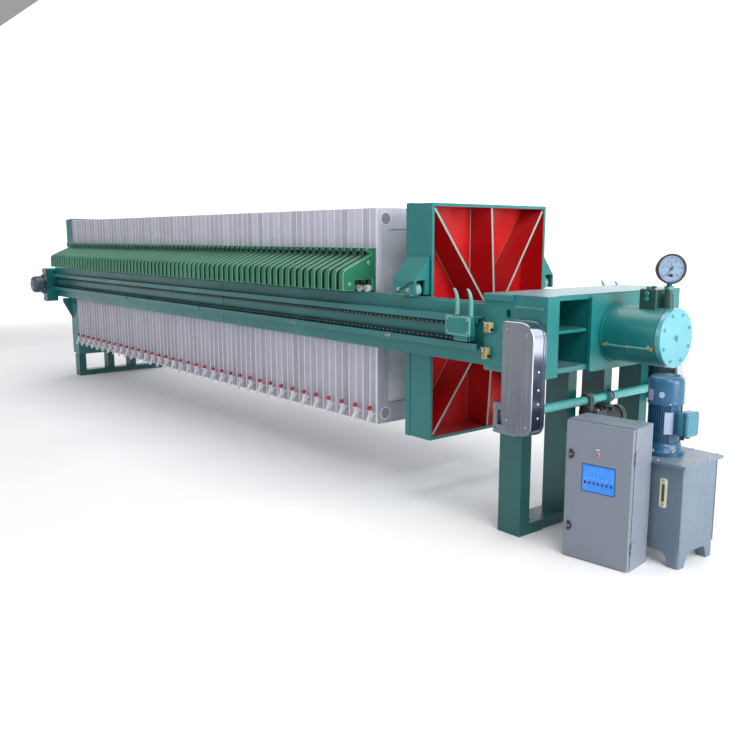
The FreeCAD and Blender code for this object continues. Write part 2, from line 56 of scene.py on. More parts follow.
PL = B("end_filter_plate")        # last plate of the pack
PK = B("filter_plates")
HF = B("head_front_plate")
HW = B("head_side_walls")
BM = B("main_beams")
TR = B("chain_tracks")
SC = B("seat_cheeks")
CY = B("cylinder_body")
CC = B("chain_cases")
TK = B("oil_tank")
LID = B("tank_lid")
PM = B("pump_motor")
GA = B("pressure_gauge")
HN = B("plate_handles_near")
SH = B("drive_shaft")
X0 = HW[1]                        # open rim of the movable head
AXZ = (HF[4] + HF[5]) / 2         # press axis
PITCH = 0.073
NPL = 72
PT = PL[1] - PL[0]
SX1 = PL[1]                       # face of the pack


def px(mm):
    """a length along the press, in mm from the open rim of the movable head"""
    return X0 + mm / 1000.0


# =====================================================================================
#  mesh building
# =====================================================================================
class Mesh:
    """collects faces of one piece; every face carries a material index"""

    def __init__(self):
        self.v, self.f, self.m = [], [], []

    def add(self, vf, mat=0, M=None, edge=None):
        v, f = vf[0], vf[1]
        tags = vf[2] if len(vf) > 2 else None
        o = len(self.v)
        if M is not None:
            v = [tuple(M @ Vector(p)) for p in v]
        self.v.extend(v)
        for k, q in enumerate(f):
            self.f.append(tuple(i + o for i in q))
            self.m.append(edge if (edge is not None and tags and tags[k]) else mat)
        return self

    def template(self, other, offsets):
        for d in offsets:
            o = len(self.v)
            self.v.extend([(p[0] + d[0], p[1] + d[1], p[2] + d[2]) for p in other.v])
            self.f.extend([tuple(i + o for i in q) for q in other.f])
            self.m.extend(other.m)
        return self

    def mirrored(self):
        """the same piece on the other side of the press"""
        n = Mesh()
        n.v = [(p[0], -p[1], p[2]) for p in self.v]
        n.f = [tuple(reversed(q)) for q in self.f]
        n.m = list(self.m)
        return n

    def merge(self, other):
        return self.template(other, [(0, 0, 0)])

    def make(self, name, mats, body="frame", smooth=32.0, replaces=None, slot=None, weld=False):
        me = bpy.data.meshes.new(name)
        me.from_pydata(self.v, [], self.f)
        for m in mats:
            me.materials.append(m)
        for p, k in zip(me.polygons, self.m):
            p.material_index = k
        bm = bmesh.new()
        bm.from_mesh(me)
        if weld:
            bmesh.ops.remove_doubles(bm, verts=bm.verts, dist=1e-6)
        bmesh.ops.recalc_face_normals(bm, faces=bm.faces)
        bm.to_mesh(me)
        bm.free()
        me.shade_smooth()
        me.set_sharp_from_angle(angle=math.radians(smooth))
        ob = bpy.data.objects.new(name, me)
        bpy.context.scene.collection.objects.link(ob)
        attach(ob, body)
        if replaces:
            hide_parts(*replaces)
        return ob


def T(x, y, z):
    return Matrix.Translation((x, y, z))


def RX(d):
    return Matrix.Rotation(math.radians(d), 4, "X")


def RY(d):
    return Matrix.Rotation(math.radians(d), 4, "Y")


def RZ(d):
    return Matrix.Rotation(math.radians(d), 4, "Z")


TO_X = RY(90)        # local +Z becomes +X
TO_Y = RX(-90)       # local +Z becomes +Y
TO_NY = RX(90)       # local +Z becomes -Y
TO_NX = RY(-90)


def cbox(x0, x1, y0, y1, z0, z1, c=0.002):
    """box with chamfered edges"""
    c = min(c, 0.45 * (x1 - x0), 0.45 * (y1 - y0), 0.45 * (z1 - z0))
    xs, ys, zs = (x0, x1), (y0, y1), (z0, z1)
    v = []

    def vid(a, b, d, ax):
        return ((a * 2 + b) * 2 + d) * 3 + ax

    for a in (0, 1):
        for b in (0, 1):
            for d in (0, 1):
                X, Y, Z = xs[a], ys[b], zs[d]
                xi, yi, zi = X + (c if a == 0 else -c), Y + (c if b == 0 else -c), Z + (c if d == 0 else -c)
                v += [(X, yi, zi), (xi, Y, zi), (xi, yi, Z)]
    f, tag = [], []
    for a in (0, 1):
        f.append((vid(a, 0, 0, 0), vid(a, 1, 0, 0), vid(a, 1, 1, 0), vid(a, 0, 1, 0)))
        f.append((vid(0, a, 0, 1), vid(1, a, 0, 1), vid(1, a, 1, 1), vid(0, a, 1, 1)))
        f.append((vid(0, 0, a, 2), vid(1, 0, a, 2), vid(1, 1, a, 2), vid(0, 1, a, 2)))
        tag += [0, 0, 0]
    for a in (0, 1):
        for b in (0, 1):
            f.append((vid(0, a, b, 1), vid(1, a, b, 1), vid(1, a, b, 2), vid(0, a, b, 2)))
            f.append((vid(a, 0, b, 0), vid(a, 1, b, 0), vid(a, 1, b, 2), vid(a, 0, b, 2)))
            f.append((vid(a, b, 0, 0), vid(a, b, 1, 0), vid(a, b, 1, 1), vid(a, b, 0, 1)))
            tag += [1, 1, 1]
            for d in (0, 1):
                f.append((vid(a, b, d, 0), vid(a, b, d, 1), vid(a, b, d, 2)))
                tag.append(1)
    return v, f, tag


def lathe(prof, n=32, a0=0.0):
    """turned shape about local Z; prof is [(radius, height)], a radius of 0 closes the end"""
    v, f, rings = [], [], []
    for r, h in prof:
        if r <= 1e-9:
            rings.append([len(v)])
            v.append((0.0, 0.0, h))
        else:
            ids = []
            for k in range(n):
                a = 2 * math.pi * k / n + a0
                ids.append(len(v))
                v.append((r * math.cos(a), r * math.sin(a), h))
            rings.append(ids)
    for A, C in zip(rings, rings[1:]):
        if len(A) == 1 and len(C) == 1:
            continue
        for k in range(n):
            j = (k + 1) % n
            if len(A) == 1:
                f.append((A[0], C[j], C[k]))
            elif len(C) == 1:
                f.append((A[k], A[j], C[0]))
            else:
                f.append((A[k], A[j], C[j], C[k]))
    return v, f


def drum(r, h0, h1, c=0.002, n=32):
    """solid round bar with chamfered ends"""
    return lathe([(0, h0), (r - c, h0), (r, h0 + c), (r, h1 - c), (r - c, h1), (0, h1)], n)


def pipe(r, ri, h0, h1, c=0.001, n=32):
    return lathe([(ri, h0), (r - c, h0), (r, h0 + c), (r, h1 - c), (r - c, h1), (ri, h1), (ri, h0)], n)


def rounded(r, h0, h1, q, n=40, steps=6, both=False):
    """round bar whose top edge (and foot edge) is a quarter round of radius q"""
    p = [(0, h0)]
    if both:
        for k in range(steps + 1):
            a = math.pi / 2 * k / steps
            p.append((r - q + q * math.sin(a), h0 + q - q * math.cos(a)))
    else:
        p.append((r, h0))
    for k in range(steps + 1):
        a = math.pi / 2 * k / steps
        p.append((r - q + q * math.cos(a), h1 - q + q * math.sin(a)))
    p.append((0, h1))
    return lathe(p, n)


def inset(poly, c):
    n = len(poly)
    area = sum(poly[i][0] * poly[(i + 1) % n][1] - poly[(i + 1) % n][0] * poly[i][1] for i in range(n))
    s = 1.0 if area > 0 else -1.0
    out = []
    for i in range(n):
        p0, p1, p2 = Vector(poly[i - 1]), Vector(poly[i]), Vector(poly[(i + 1) % n])
        d1, d2 = (p1 - p0).normalized(), (p2 - p1).normalized()
        n1, n2 = Vector((-d1.y, d1.x)) * s, Vector((-d2.y, d2.x)) * s
        k = n1 + n2
        L = max(0.35, k.dot(n1))
        out.append(tuple(p1 + k * (c / L)))
    return out


def slab(poly, w0, w1, c=0.0015):
    """polygon in local XY drawn up along local Z, with chamfered rims"""
    n = len(poly)
    inn = inset(poly, c)
    v = [(p[0], p[1], w0) for p in inn] + [(p[0], p[1], w0 + c) for p in poly] + [(p[0], p[1], w1 - c) for p in poly] + [(p[0], p[1], w1) for p in inn]
    f, tag = [tuple(range(n))], [0]
    for ring in range(3):
        for i in range(n):
            j = (i + 1) % n
            f.append((ring * n + i, ring * n + j, (ring + 1) * n + j, (ring + 1) * n + i))
            tag.append(0 if ring == 1 else 1)
    f.append(tuple(3 * n + i for i in range(n)))
    tag.append(0)
    return v, f, tag


def yz(poly, x0, x1, c=0.0015):
    """polygon given as (y, z), drawn along X"""
    v, f, t = slab(poly, x0, x1, c)
    return [(w, y, z) for y, z, w in v], f, t


def xz(poly, y0, y1, c=0.0015):
    v, f, t = slab(poly, y0, y1, c)
    return [(x, w, z) for x, z, w in v], f, t


def xy(poly, z0, z1, c=0.0015):
    v, f, t = slab(poly, z0, z1, c)
    return v, f, t


def rrect(x0, x1, y0, y1, r, n=5):
    """rectangle with rounded corners"""
    out = []
    for cx, cy, a0 in ((x1 - r, y1 - r, 0), (x0 + r, y1 - r, 90), (x0 + r, y0 + r, 180), (x1 - r, y0 + r, 270)):
        for k in range(n + 1):
            a = math.radians(a0 + 90 * k / n)
            out.append((cx + r * math.cos(a), cy + r * math.sin(a)))
    return out


def oblong(cx, z0, z1, r, n=16):
    """upright shape with half-round ends"""
    out = []
    for k in range(n + 1):
        a = math.pi * k / n
        out.append((cx + r * math.cos(a), z1 + r * math.sin(a)))
    for k in range(n + 1):
        a = math.pi + math.pi * k / n
        out.append((cx + r * math.cos(a), z0 + r * math.sin(a)))
    return out


def ringwall(outer, inner, w0, w1):
    """flat ring between two outlines with the same number of points, drawn up along local Z"""
    n = len(outer)
    v = [(p[0], p[1], w) for w in (w0, w1) for p in outer] + [(p[0], p[1], w) for w in (w0, w1) for p in inner]
    f = []
    for i in range(n):
        j = (i + 1) % n
        f.append((i, j, n + j, n + i))
        f.append((2 * n + i, 2 * n + j, 3 * n + j, 3 * n + i))
        f.append((i, j, 2 * n + j, 2 * n + i))
        f.append((n + i, n + j, 3 * n + j, 3 * n + i))
    return v, f


def tube(pts, r, n=12, caps=True):
    pts = [Vector(p) for p in pts]
    v, f = [], []
    t = (pts[1] - pts[0]).normalized()
    up = Vector((0, 0, 1)) if abs(t.z) < 0.9 else Vector((1, 0, 0))
    u = t.cross(up).normalized()
    for i, p in enumerate(pts):
        if i == 0:
            t = (pts[1] - pts[0]).normalized()
        elif i == len(pts) - 1:
            t = (pts[-1] - pts[-2]).normalized()
        else:
            t = ((pts[i + 1] - p).normalized() + (p - pts[i - 1]).normalized()).normalized()
        u = (u - t * u.dot(t)).normalized()
        w = t.cross(u)
        for k in range(n):
            a = 2 * math.pi * k / n
            q = p + (u * math.cos(a) + w * math.sin(a)) * r
            v.append(tuple(q))
    for i in range(len(pts) - 1):
        for k in range(n):
            j = (k + 1) % n
            f.append((i * n + k, i * n + j, (i + 1) * n + j, (i + 1) * n + k))
    if caps:
        f.append(tuple(range(n - 1, -1, -1)))
        f.append(tuple((len(pts) - 1) * n + k for k in range(n)))
    return v, f


def bend(points, r=0.01, steps=5):
    """route through points with rounded corners"""
    P = [Vector(p) for p in points]
    out = [P[0]]
    for a, b, c in zip(P, P[1:], P[2:]):
        k = min(r, 0.45 * (b - a).length, 0.45 * (c - b).length)
        p, q = b + (a - b).normalized() * k, b + (c - b).normalized() * k
        for s in range(steps + 1):
            t = s / steps
            out.append(p * (1 - t) ** 2 + b * 2 * t * (1 - t) + q * t * t)
    out.append(P[-1])
    return out


def hexa(af, h0, h1, c=0.0012):
    """hexagon prism, af across the flats, with the round chamfer of a bolt head"""
    R_ = af / math.sqrt(3)
    poly = [(R_ * math.cos(math.pi / 3 * k), R_ * math.sin(math.pi / 3 * k)) for k in range(6)]
    return slab(poly, h0, h1, c)


def bolt(m, M, d=0.016, mat=0, head=True, washer=True):
    """hexagon bolt head on a washer, local +Z points away from the joint"""
    if washer:
        m.add(lathe([(0, 0), (d * 1.0, 0), (d * 1.05, d * 0.06), (d * 1.0, d * 0.16), (0, d * 0.16)], 18), mat, M)
    m.add(hexa(d * 1.55, d * 0.12, d * 0.78, d * 0.1), mat, M)
    if head:
        m.add(lathe([(0, d * 0.7), (d * 0.46, d * 0.7), (d * 0.46, d * 1.1), (d * 0.36, d * 1.2), (0, d * 1.2)], 12), mat, M)
    return m


def weld(m, a, b, r=0.004, mat=0, n=6):
    """bead of weld from a to b with a faint ripple"""
    a, b = Vector(a), Vector(b)
    L = (b - a).length
    k = max(2, int(L / 0.012))
    pts = [a + (b - a) * (i / k) for i in range(k + 1)]
    v, f = tube(pts, r, n)
    out = []
    for i in range(len(pts)):
        s = 1.0 + 0.16 * math.sin(i * 2.3)
        for j in range(n):
            q = Vector(v[i * n + j])
            out.append(tuple(pts[i] + (q - pts[i]) * s))
    m.add((out, f), mat)


# =====================================================================================
#  materials
# =====================================================================================
def lin(r, g, b):
    out = []
    for c in (r, g, b):
        c /= 255.0
        out.append(c / 12.92 if c <= 0.04045 else ((c + 0.055) / 1.055) ** 2.4)
    return tuple(out)


def mul(c, k):
    return tuple(min(1.0, x * k) for x in c)


def toward(c, d, k):
    return tuple(x * (1 - k) + y * k for x, y in zip(c, d))


class Mat:
    def __init__(self, name):
        self.mat = bpy.data.materials.new(name)
        self.mat.use_nodes = True
        self.t = self.mat.node_tree
        self.p = next(n for n in self.t.nodes if n.type == "BSDF_PRINCIPLED")
        self.co = self.t.nodes.new("ShaderNodeTexCoord").outputs["Object"]
        self.geo = None

    def new(self, kind, **kw):
        n = self.t.nodes.new(kind)
        for k, v in kw.items():
            setattr(n, k, v)
        return n

    def link(self, a, b):
        self.t.links.new(a, b)

    def noise(self, scale, detail=3.0, rough=0.5, stretch=None, dist=0.0):
        n = self.new("ShaderNodeTexNoise")
        n.inputs["Scale"].default_value = scale
        n.inputs["Detail"].default_value = detail
        n.inputs["Roughness"].default_value = rough
        n.inputs["Distortion"].default_value = dist
        src = self.co
        if stretch:
            mp = self.new("ShaderNodeMapping")
            mp.inputs["Scale"].default_value = stretch
            self.link(src, mp.inputs["Vector"])
            src = mp.outputs["Vector"]
        self.link(src, n.inputs["Vector"])
        return n.outputs["Fac"]

    def ramp(self, fac, a, b, lo=0.0, hi=1.0):
        n = self.new("ShaderNodeMapRange")
        n.interpolation_type = "SMOOTHSTEP"
        n.inputs["From Min"].default_value = a
        n.inputs["From Max"].default_value = b
        n.inputs["To Min"].default_value = lo
        n.inputs["To Max"].default_value = hi
        self.link(fac, n.inputs["Value"])
        return n.outputs["Result"]

    def math(self, op, a, b=None, c=None):
        n = self.new("ShaderNodeMath", operation=op)
        for k, s in enumerate((a, b, c)):
            if s is None:
                continue
            if isinstance(s, (int, float)):
                n.inputs[k].default_value = s
            else:
                self.link(s, n.inputs[k])
        return n.outputs[0]

    def mix(self, fac, a, b, blend="MIX"):
        n = self.new("ShaderNodeMix", data_type="RGBA", blend_type=blend)
        for s, sock in ((fac, n.inputs[0]), (a, n.inputs[6]), (b, n.inputs[7])):
            if isinstance(s, (int, float)):
                sock.default_value = s
            elif isinstance(s, tuple):
                sock.default_value = (*s, 1.0)
            else:
                self.link(s, sock)
        return n.outputs[2]

    def xyz(self, which="co"):
        n = self.new("ShaderNodeSeparateXYZ")
        if which == "co":
            self.link(self.co, n.inputs[0])
        else:
            g = self.t.nodes.new("ShaderNodeTexCoord")
            self.link(g.outputs["Normal"], n.inputs[0])
        return n.outputs

    def bump(self, height, strength=0.2, dist=0.001, prev=None):
        n = self.new("ShaderNodeBump")
        n.inputs["Strength"].default_value = strength
        n.inputs["Distance"].default_value = dist
        self.link(height, n.inputs["Height"])
        if prev is not None:
            self.link(prev, n.inputs["Normal"])
        return n.outputs["Normal"]

    def done(self, color=None, rough=None, normal=None, metallic=0.0, spec=0.5, coat=0.0, coat_rough=0.1):
        if color is not None:
            if isinstance(color, tuple):
                self.p.inputs["Base Color"].default_value = (*color, 1)
            else:
                self.link(color, self.p.inputs["Base Color"])
        if rough is not None:
            if isinstance(rough, float):
                self.p.inputs["Roughness"].default_value = rough
            else:
                self.link(rough, self.p.inputs["Roughness"])
        if normal is not None:
            self.link(normal, self.p.inputs["Normal"])
        self.p.inputs["Metallic"].default_value = metallic
        self.p.inputs["Specular IOR Level"].default_value = spec
        self.p.inputs["Coat Weight"].default_value = coat
        self.p.inputs["Coat Roughness"].default_value = coat_rough
        return self.mat


def paint(name, rgb, rough=0.36, var=0.10, streak=0.22, dust_and_sheen=0.12, peel=0.12, chips=0.25, second=None, mask=None, coat=0.15, grime=None, dust_and_sheen_rgb=(0.40, 0.43, 0.44)):
    """brushed and sprayed machine enamel: cloudy tone, run marks, dust on top faces, small chips, orange peel; the
    top-face layer, made heavy and blue-grey on the seat top, is there a painted sky reflection
    """
    m = Mat(name)
    base = rgb
    if second is not None:
        base = m.mix(mask(m), rgb, second)
    dark = m.mix(1.0, base, (0.62, 0.66, 0.68), "MULTIPLY")
    lite = m.mix(0.09, base, (1.0, 1.0, 1.0))
    big = m.noise(1.6, 3.0, 0.55)
    col = m.mix(m.ramp(big, 0.30, 0.72, 0.0, var * 4.0), dark, base)
    col = m.mix(m.ramp(big, 0.52, 0.75, 0.0, var * 2.4), col, lite)
    run = m.noise(1.0, 4.0, 0.6, (26.0, 26.0, 1.3))
    col = m.mix(m.ramp(run, 0.56, 0.78, 0.0, streak), col, grime or (0.05, 0.055, 0.05))
    # upward faces: dust, and where the amount is large, as on the seat top, a painted sky reflection
    nz = m.xyz("n")[2]
    mott = m.noise(14.0, 5.0, 0.62)
    dust_and_sheen_fac = m.math("MULTIPLY", m.ramp(nz, 0.55, 0.95), m.ramp(mott, 0.35, 0.75, dust_and_sheen * 0.4, dust_and_sheen * 1.6))
    col = m.mix(dust_and_sheen_fac, col, dust_and_sheen_rgb)
    if chips:
        vo = m.noise(62.0, 2.0, 0.5)
        patch = m.noise(5.0, 3.0, 0.6)
        ch = m.math("MULTIPLY", m.ramp(vo, 0.715, 0.735), m.ramp(patch, 0.55, 0.66, 0.0, chips))
        col = m.mix(ch, col, (0.16, 0.12, 0.09))
    r = m.ramp(mott, 0.25, 0.8, rough - 0.07, rough + 0.12)
    fine = m.noise(420.0, 2.0, 0.5)
    nrm = m.bump(fine, peel, 0.0006)
    nrm = m.bump(mott, 0.06, 0.004, nrm)
    return m.done(col, r, nrm, 0.0, 0.5, coat, 0.18)


def edge_highlight_and_wear(name, rgb, k=0.35, rough=0.42):
    """painted highlight along an edge: a lighter tone of the enamel on the bevels, with dark patches where the enamel
    is rubbed through
    """
    m = Mat(name)
    n = m.noise(28.0, 4.0, 0.6)
    # the lighter tones here are a painted edge highlight
    c = m.mix(m.ramp(n, 0.42, 0.62, 0.15, 1.0), toward(rgb, (0.75, 0.85, 0.82), k * 0.35), toward(rgb, (0.72, 0.80, 0.76), k))
    bare = m.noise(9.0, 4.0, 0.65)
    c = m.mix(m.ramp(bare, 0.63, 0.70, 0.0, 0.55), c, (0.22, 0.20, 0.18))
    return m.done(c, m.ramp(n, 0.3, 0.7, rough - 0.08, rough + 0.14), m.bump(n, 0.10, 0.001), 0.0, 0.5)


def plastic(name, rgb, rough=0.45, var=0.06, bump=0.06, coat=0.0):
    m = Mat(name)
    n = m.noise(9.0, 4.0, 0.55)
    s = m.noise(160.0, 2.0, 0.5)
    c = m.mix(m.ramp(n, 0.3, 0.7, 0.0, 1.0), mul(rgb, 1 - var * 1.6), mul(rgb, 1 + var))
    d = m.noise(3.2, 5.0, 0.6, (1.0, 1.0, 0.4))
    c = m.mix(m.ramp(d, 0.58, 0.80, 0.0, 0.22), c, mul(rgb, 0.45))
    return m.done(c, m.ramp(n, 0.3, 0.75, rough - 0.08, rough + 0.12), m.bump(s, bump, 0.0004), 0.0, 0.5, coat, 0.08)


def metal(name, rgb, rough=0.3, grain=(1.0, 1.0, 60.0), scale=30.0, bump=0.05, stain=0.3, rust=0.0):
    m = Mat(name)
    g = m.noise(scale, 3.0, 0.6, grain)
    n = m.noise(7.0, 5.0, 0.6)
    c = m.mix(m.ramp(g, 0.3, 0.7), mul(rgb, 0.86), mul(rgb, 1.06))
    c = m.mix(m.ramp(n, 0.5, 0.8, 0.0, stain), c, mul(rgb, 0.45))
    if rust:
        k = m.noise(22.0, 6.0, 0.65)
        c = m.mix(m.ramp(k, 0.55, 0.72, 0.0, rust), c, (0.16, 0.07, 0.03))
    return m.done(c, m.ramp(n, 0.3, 0.8, rough - 0.05, rough + 0.16), m.bump(g, bump, 0.0004), 1.0, 0.5)


GREEN = lin(24, 134, 132)
GREEN_D = lin(44, 122, 114)
M = {}
M["green"] = paint("frame_enamel", GREEN)
M["green_e"] = edge_highlight_and_wear("frame_enamel_edge", lin(84, 176, 172))
M["track"] = paint("track_enamel", lin(42, 130, 130), streak=0.3)
M["handle"] = paint("handle_enamel", lin(44, 128, 92), rough=0.34, var=0.12, streak=0.1, dust_and_sheen=0.10, chips=0.3)
# darker green for the handles' flanks: painted shade for the narrow gaps between neighbouring handles
M["handle_d"] = paint("handle_flank_painted_shade", lin(22, 78, 60), rough=0.42, var=0.10, streak=0.1, dust_and_sheen=0.0, chips=0.2)
M["handle_e"] = edge_highlight_and_wear("handle_enamel_edge", lin(70, 158, 122), 0.2)
M["shaft"] = paint("shaft_enamel", lin(92, 190, 184), rough=0.26, var=0.04, streak=0.0, dust_and_sheen=0.0, peel=0.04, chips=0.0)
M["leg"] = paint("leg_enamel", lin(8, 100, 98), streak=0.2, dust_and_sheen=0.05)
# seat top: the heavy blue-grey layer on its upward faces is mostly a painted sky reflection, with some dust
M["top"] = paint("seat_top_enamel_dust_and_painted_reflection", lin(46, 136, 134), dust_and_sheen=0.62, streak=0.1, dust_and_sheen_rgb=(0.27, 0.36, 0.42))
M["cap"] = paint("end_cap_enamel", lin(90, 180, 192), rough=0.16, coat=0.7, dust_and_sheen=0.1, chips=0.1)
# deep green: on the valve block this is the frame green painted in shade
M["deep"] = paint("deep_green_enamel_and_painted_shade", lin(24, 74, 66), rough=0.4)
M["dark"] = paint("dark_enamel", lin(36, 48, 50), rough=0.4, dust_and_sheen=0.3)
M["dark_e"] = edge_highlight_and_wear("dark_enamel_edge", lin(84, 96, 98))
M["tail"] = paint("tail_enamel", GREEN, rough=0.3, second=lin(72, 84, 98), mask=lambda q: q.math("GREATER_THAN", q.math("ABSOLUTE", q.xyz()[1]), 0.6895))
M["cab"] = paint("cabinet_powder_coat", lin(150, 156, 170), rough=0.44, var=0.03, streak=0.05, dust_and_sheen=0.10, peel=0.3, chips=0.0, coat=0.0)
M["cab_e"] = edge_highlight_and_wear("cabinet_powder_coat_edge", lin(176, 184, 198), 0.1)
M["tank"] = paint("tank_enamel", lin(116, 134, 150), rough=0.36, streak=0.22, grime=(0.10, 0.09, 0.08))
M["tank_e"] = edge_highlight_and_wear("tank_enamel_edge", lin(150, 168, 180), 0.2)
M["blue"] = paint("motor_enamel", lin(34, 98, 136), rough=0.33, streak=0.12)
M["blue_e"] = edge_highlight_and_wear("motor_enamel_edge", lin(96, 150, 186), 0.25)
M["teal_box"] = paint("terminal_box_enamel", lin(44, 124, 146), rough=0.33, streak=0.08)
M["black"] = plastic("black_moulding", lin(26, 27, 30), 0.38)
M["blackp"] = paint("black_enamel", lin(28, 28, 31), rough=0.3, dust_and_sheen=0.1, chips=0.1)
M["beige"] = plastic("switch_moulding", lin(212, 196, 140), 0.42)
M["knob"] = plastic("knob_moulding", lin(186, 22, 40), 0.24, 0.10, 0.03, 0.4)
M["tap"] = plastic("tap_moulding", lin(214, 214, 218), 0.34, 0.05)
M["label"] = plastic("blank_plate", lin(226, 226, 222), 0.4)
M["red_lamp"] = plastic("lamp_lens", lin(206, 28, 30), 0.14, 0.04, 0.0, 0.6)
M["white"] = plastic("white_enamel", lin(232, 232, 230), 0.4, 0.03)
M["steel"] = metal("turned_steel", (0.52, 0.53, 0.54), 0.34)
M["bolt"] = metal("zinc_bolt", (0.50, 0.50, 0.47), 0.36, (1, 1, 1), 60.0, 0.08, 0.4, 0.25)
M["chainm"] = metal("oiled_chain", (0.035, 0.05, 0.05), 0.5, (1, 1, 1), 80.0, 0.1, 0.5, 0.2)


def inox(name):
    """brushed stainless sheet: the broad faces are dull with a long vertical grain and darken towards the bottom as
    painted shade, the bent rim is polished and carries a painted reflection that is pale at the top and dark blue-grey
    below
    """
    m = Mat(name)
    s = m.xyz()
    nn = m.xyz("n")
    g = m.noise(1.0, 4.0, 0.6, (240.0, 240.0, 3.0))
    cloud = m.noise(4.0, 3.0, 0.55)
    broad = m.ramp(m.math("ABSOLUTE", nn[1]), 0.80, 0.97)
    # painted shade and reflection by height: the broad faces darken towards the bottom, the side faces go from dark
    # blue-grey below to pale at the top
    up = m.ramp(s[2], 0.62, 1.12)
    front = m.mix(up, (0.135, 0.150, 0.190), (0.27, 0.285, 0.32))
    front = m.mix(m.ramp(cloud, 0.35, 0.70, 0.0, 0.5), front, (0.20, 0.215, 0.25))
    side = m.mix(m.ramp(s[2], 0.60, 0.86), (0.20, 0.24, 0.34), (0.62, 0.66, 0.78))
    c = m.mix(broad, side, front)
    c = m.mix(m.ramp(g, 0.40, 0.70, 0.0, 0.22), c, (0.60, 0.62, 0.66))
    r = m.mix(broad, (0.16, 0.16, 0.16), (0.34, 0.34, 0.34))
    return m.done(c, r, m.bump(g, 0.03, 0.0004), 1.0, 0.5)


M["inox"] = inox("polished_inox_with_painted_reflection")
M["rod"] = metal("hard_chrome", (0.78, 0.79, 0.81), 0.10, (0.6, 40.0, 40.0), 12.0, 0.01, 0.08)
M["rubber"] = plastic("hose_rubber", lin(30, 30, 32), 0.55)
M["brass"] = metal("brass", (0.58, 0.42, 0.16), 0.3, (1, 1, 1), 30.0, 0.05, 0.3)
M["grey_m"] = plastic("grey_moulding", lin(150, 152, 156), 0.45)


def plate_plastic(name, rgb, side=True):
    """moulded polypropylene: each plate has its own tone, with long stains down the joints; painted shade darkens the
    pack towards the bottom and its side faces towards the far end
    """
    m = Mat(name)
    s = m.xyz()
    plate_painted_shade_rgb = lin(150, 146, 160)
    idx = m.math("FLOOR", m.math("DIVIDE", m.math("SUBTRACT", SX1, s[0]), PITCH))
    w = m.new("ShaderNodeTexWhiteNoise", noise_dimensions="1D")
    m.link(idx, w.inputs["W"])
    tone = m.ramp(w.outputs["Value"], 0.0, 1.0)
    c = m.mix(tone, mul(rgb, 0.80), mul(rgb, 1.04))
    w2 = m.new("ShaderNodeTexWhiteNoise", noise_dimensions="1D")
    m.link(m.math("ADD", idx, 31.7), w2.inputs["W"])
    c = m.mix(m.ramp(w2.outputs["Value"], 0.55, 1.0, 0.0, 0.28), c, toward(rgb, lin(196, 178, 200), 0.75))
    st = m.noise(1.0, 5.0, 0.62, (70.0, 16.0, 1.1))
    c = m.mix(m.ramp(st, 0.50, 0.78, 0.0, 0.42), c, lin(122, 120, 130))
    th = m.noise(1.0, 3.0, 0.7, (190.0, 10.0, 0.55))
    c = m.mix(m.ramp(th, 0.54, 0.66, 0.0, 0.34), c, lin(128, 122, 136))
    st2 = m.noise(1.0, 4.0, 0.6, (150.0, 30.0, 2.6))
    c = m.mix(m.ramp(st2, 0.52, 0.74, 0.0, 0.30), c, lin(236, 236, 244))
    # blotchy darkening towards the bottom of the plates
    low = m.ramp(s[2], AXZ - 0.68, AXZ - 0.30, 0.32, 0.0)
    bl = m.noise(6.0, 5.0, 0.65)
    c = m.mix(m.math("MULTIPLY", low, m.ramp(bl, 0.35, 0.65)), c, lin(120, 112, 112))
    # painted shade: the plates darken towards the bottom, and their side faces towards the far end of the pack
    c = m.mix(m.ramp(s[2], AXZ - 0.65, AXZ + 0.55, 0.34, 0.0), c, mul(plate_painted_shade_rgb, 0.55))
    c = m.mix(m.math("MULTIPLY", m.ramp(s[0], SX1 - 5.2, SX1 - 1.0, 0.30, 0.0), m.ramp(m.math("ABSOLUTE", m.xyz("n")[1]), 0.5, 0.9)), c, mul(plate_painted_shade_rgb, 0.45))
    fine = m.noise(190.0, 3.0, 0.55)
    n = m.bump(fine, 0.10, 0.0006)
    n = m.bump(st, 0.10, 0.002, n)
    return m.done(c, m.ramp(st, 0.3, 0.8, 0.42, 0.62), n, 0.0, 0.42)


M["plate"] = plate_plastic("plate_polypropylene", lin(200, 198, 214))
M["plate_e"] = edge_highlight_and_wear("plate_polypropylene_rim", lin(226, 226, 236), 0.15, 0.5)


def cloth(name, rgb):
    """woven filter cloth: fine over-and-under weave with stains"""
    m = Mat(name)
    s = m.xyz()
    def wave(sock, f):
        return m.math("SINE", m.math("MULTIPLY", sock, f))
    wv = m.math("MULTIPLY", wave(s[1], 2100.0), wave(s[2], 2100.0))
    n = m.noise(5.0, 5.0, 0.62)
    c = m.mix(m.ramp(n, 0.35, 0.7), mul(rgb, 0.78), rgb)
    c = m.mix(m.ramp(wv, -1.0, 1.0, 0.0, 0.22), c, mul(rgb, 0.6))
    return m.done(c, 0.85, m.bump(m.ramp(wv, -1.0, 1.0), 0.35, 0.0008), 0.0, 0.2)


M["cloth"] = cloth("filter_cloth", lin(222, 220, 228))


def in_head(m):
    """1 on the inner faces of the head's box, which are red, 0 outside"""
    s = m.xyz()
    iy = HW[3] - 0.018 + 0.0008
    iz = (HF[5] - HF[4]) / 2 - 0.022 + 0.0008
    ya = m.math("LESS_THAN", m.math("ABSOLUTE", s[1]), iy)
    za = m.math("LESS_THAN", m.math("ABSOLUTE", m.math("SUBTRACT", s[2], AXZ)), iz)
    xa = m.math("GREATER_THAN", s[0], HF[1] - 0.0008)
    xb = m.math("LESS_THAN", s[0], X0 - 0.0035)
    return m.math("MULTIPLY", m.math("MULTIPLY", ya, za), m.math("MULTIPLY", xa, xb))


def rib_face(m):
    return m.ramp(m.xyz("n")[0], 0.80, 0.90)


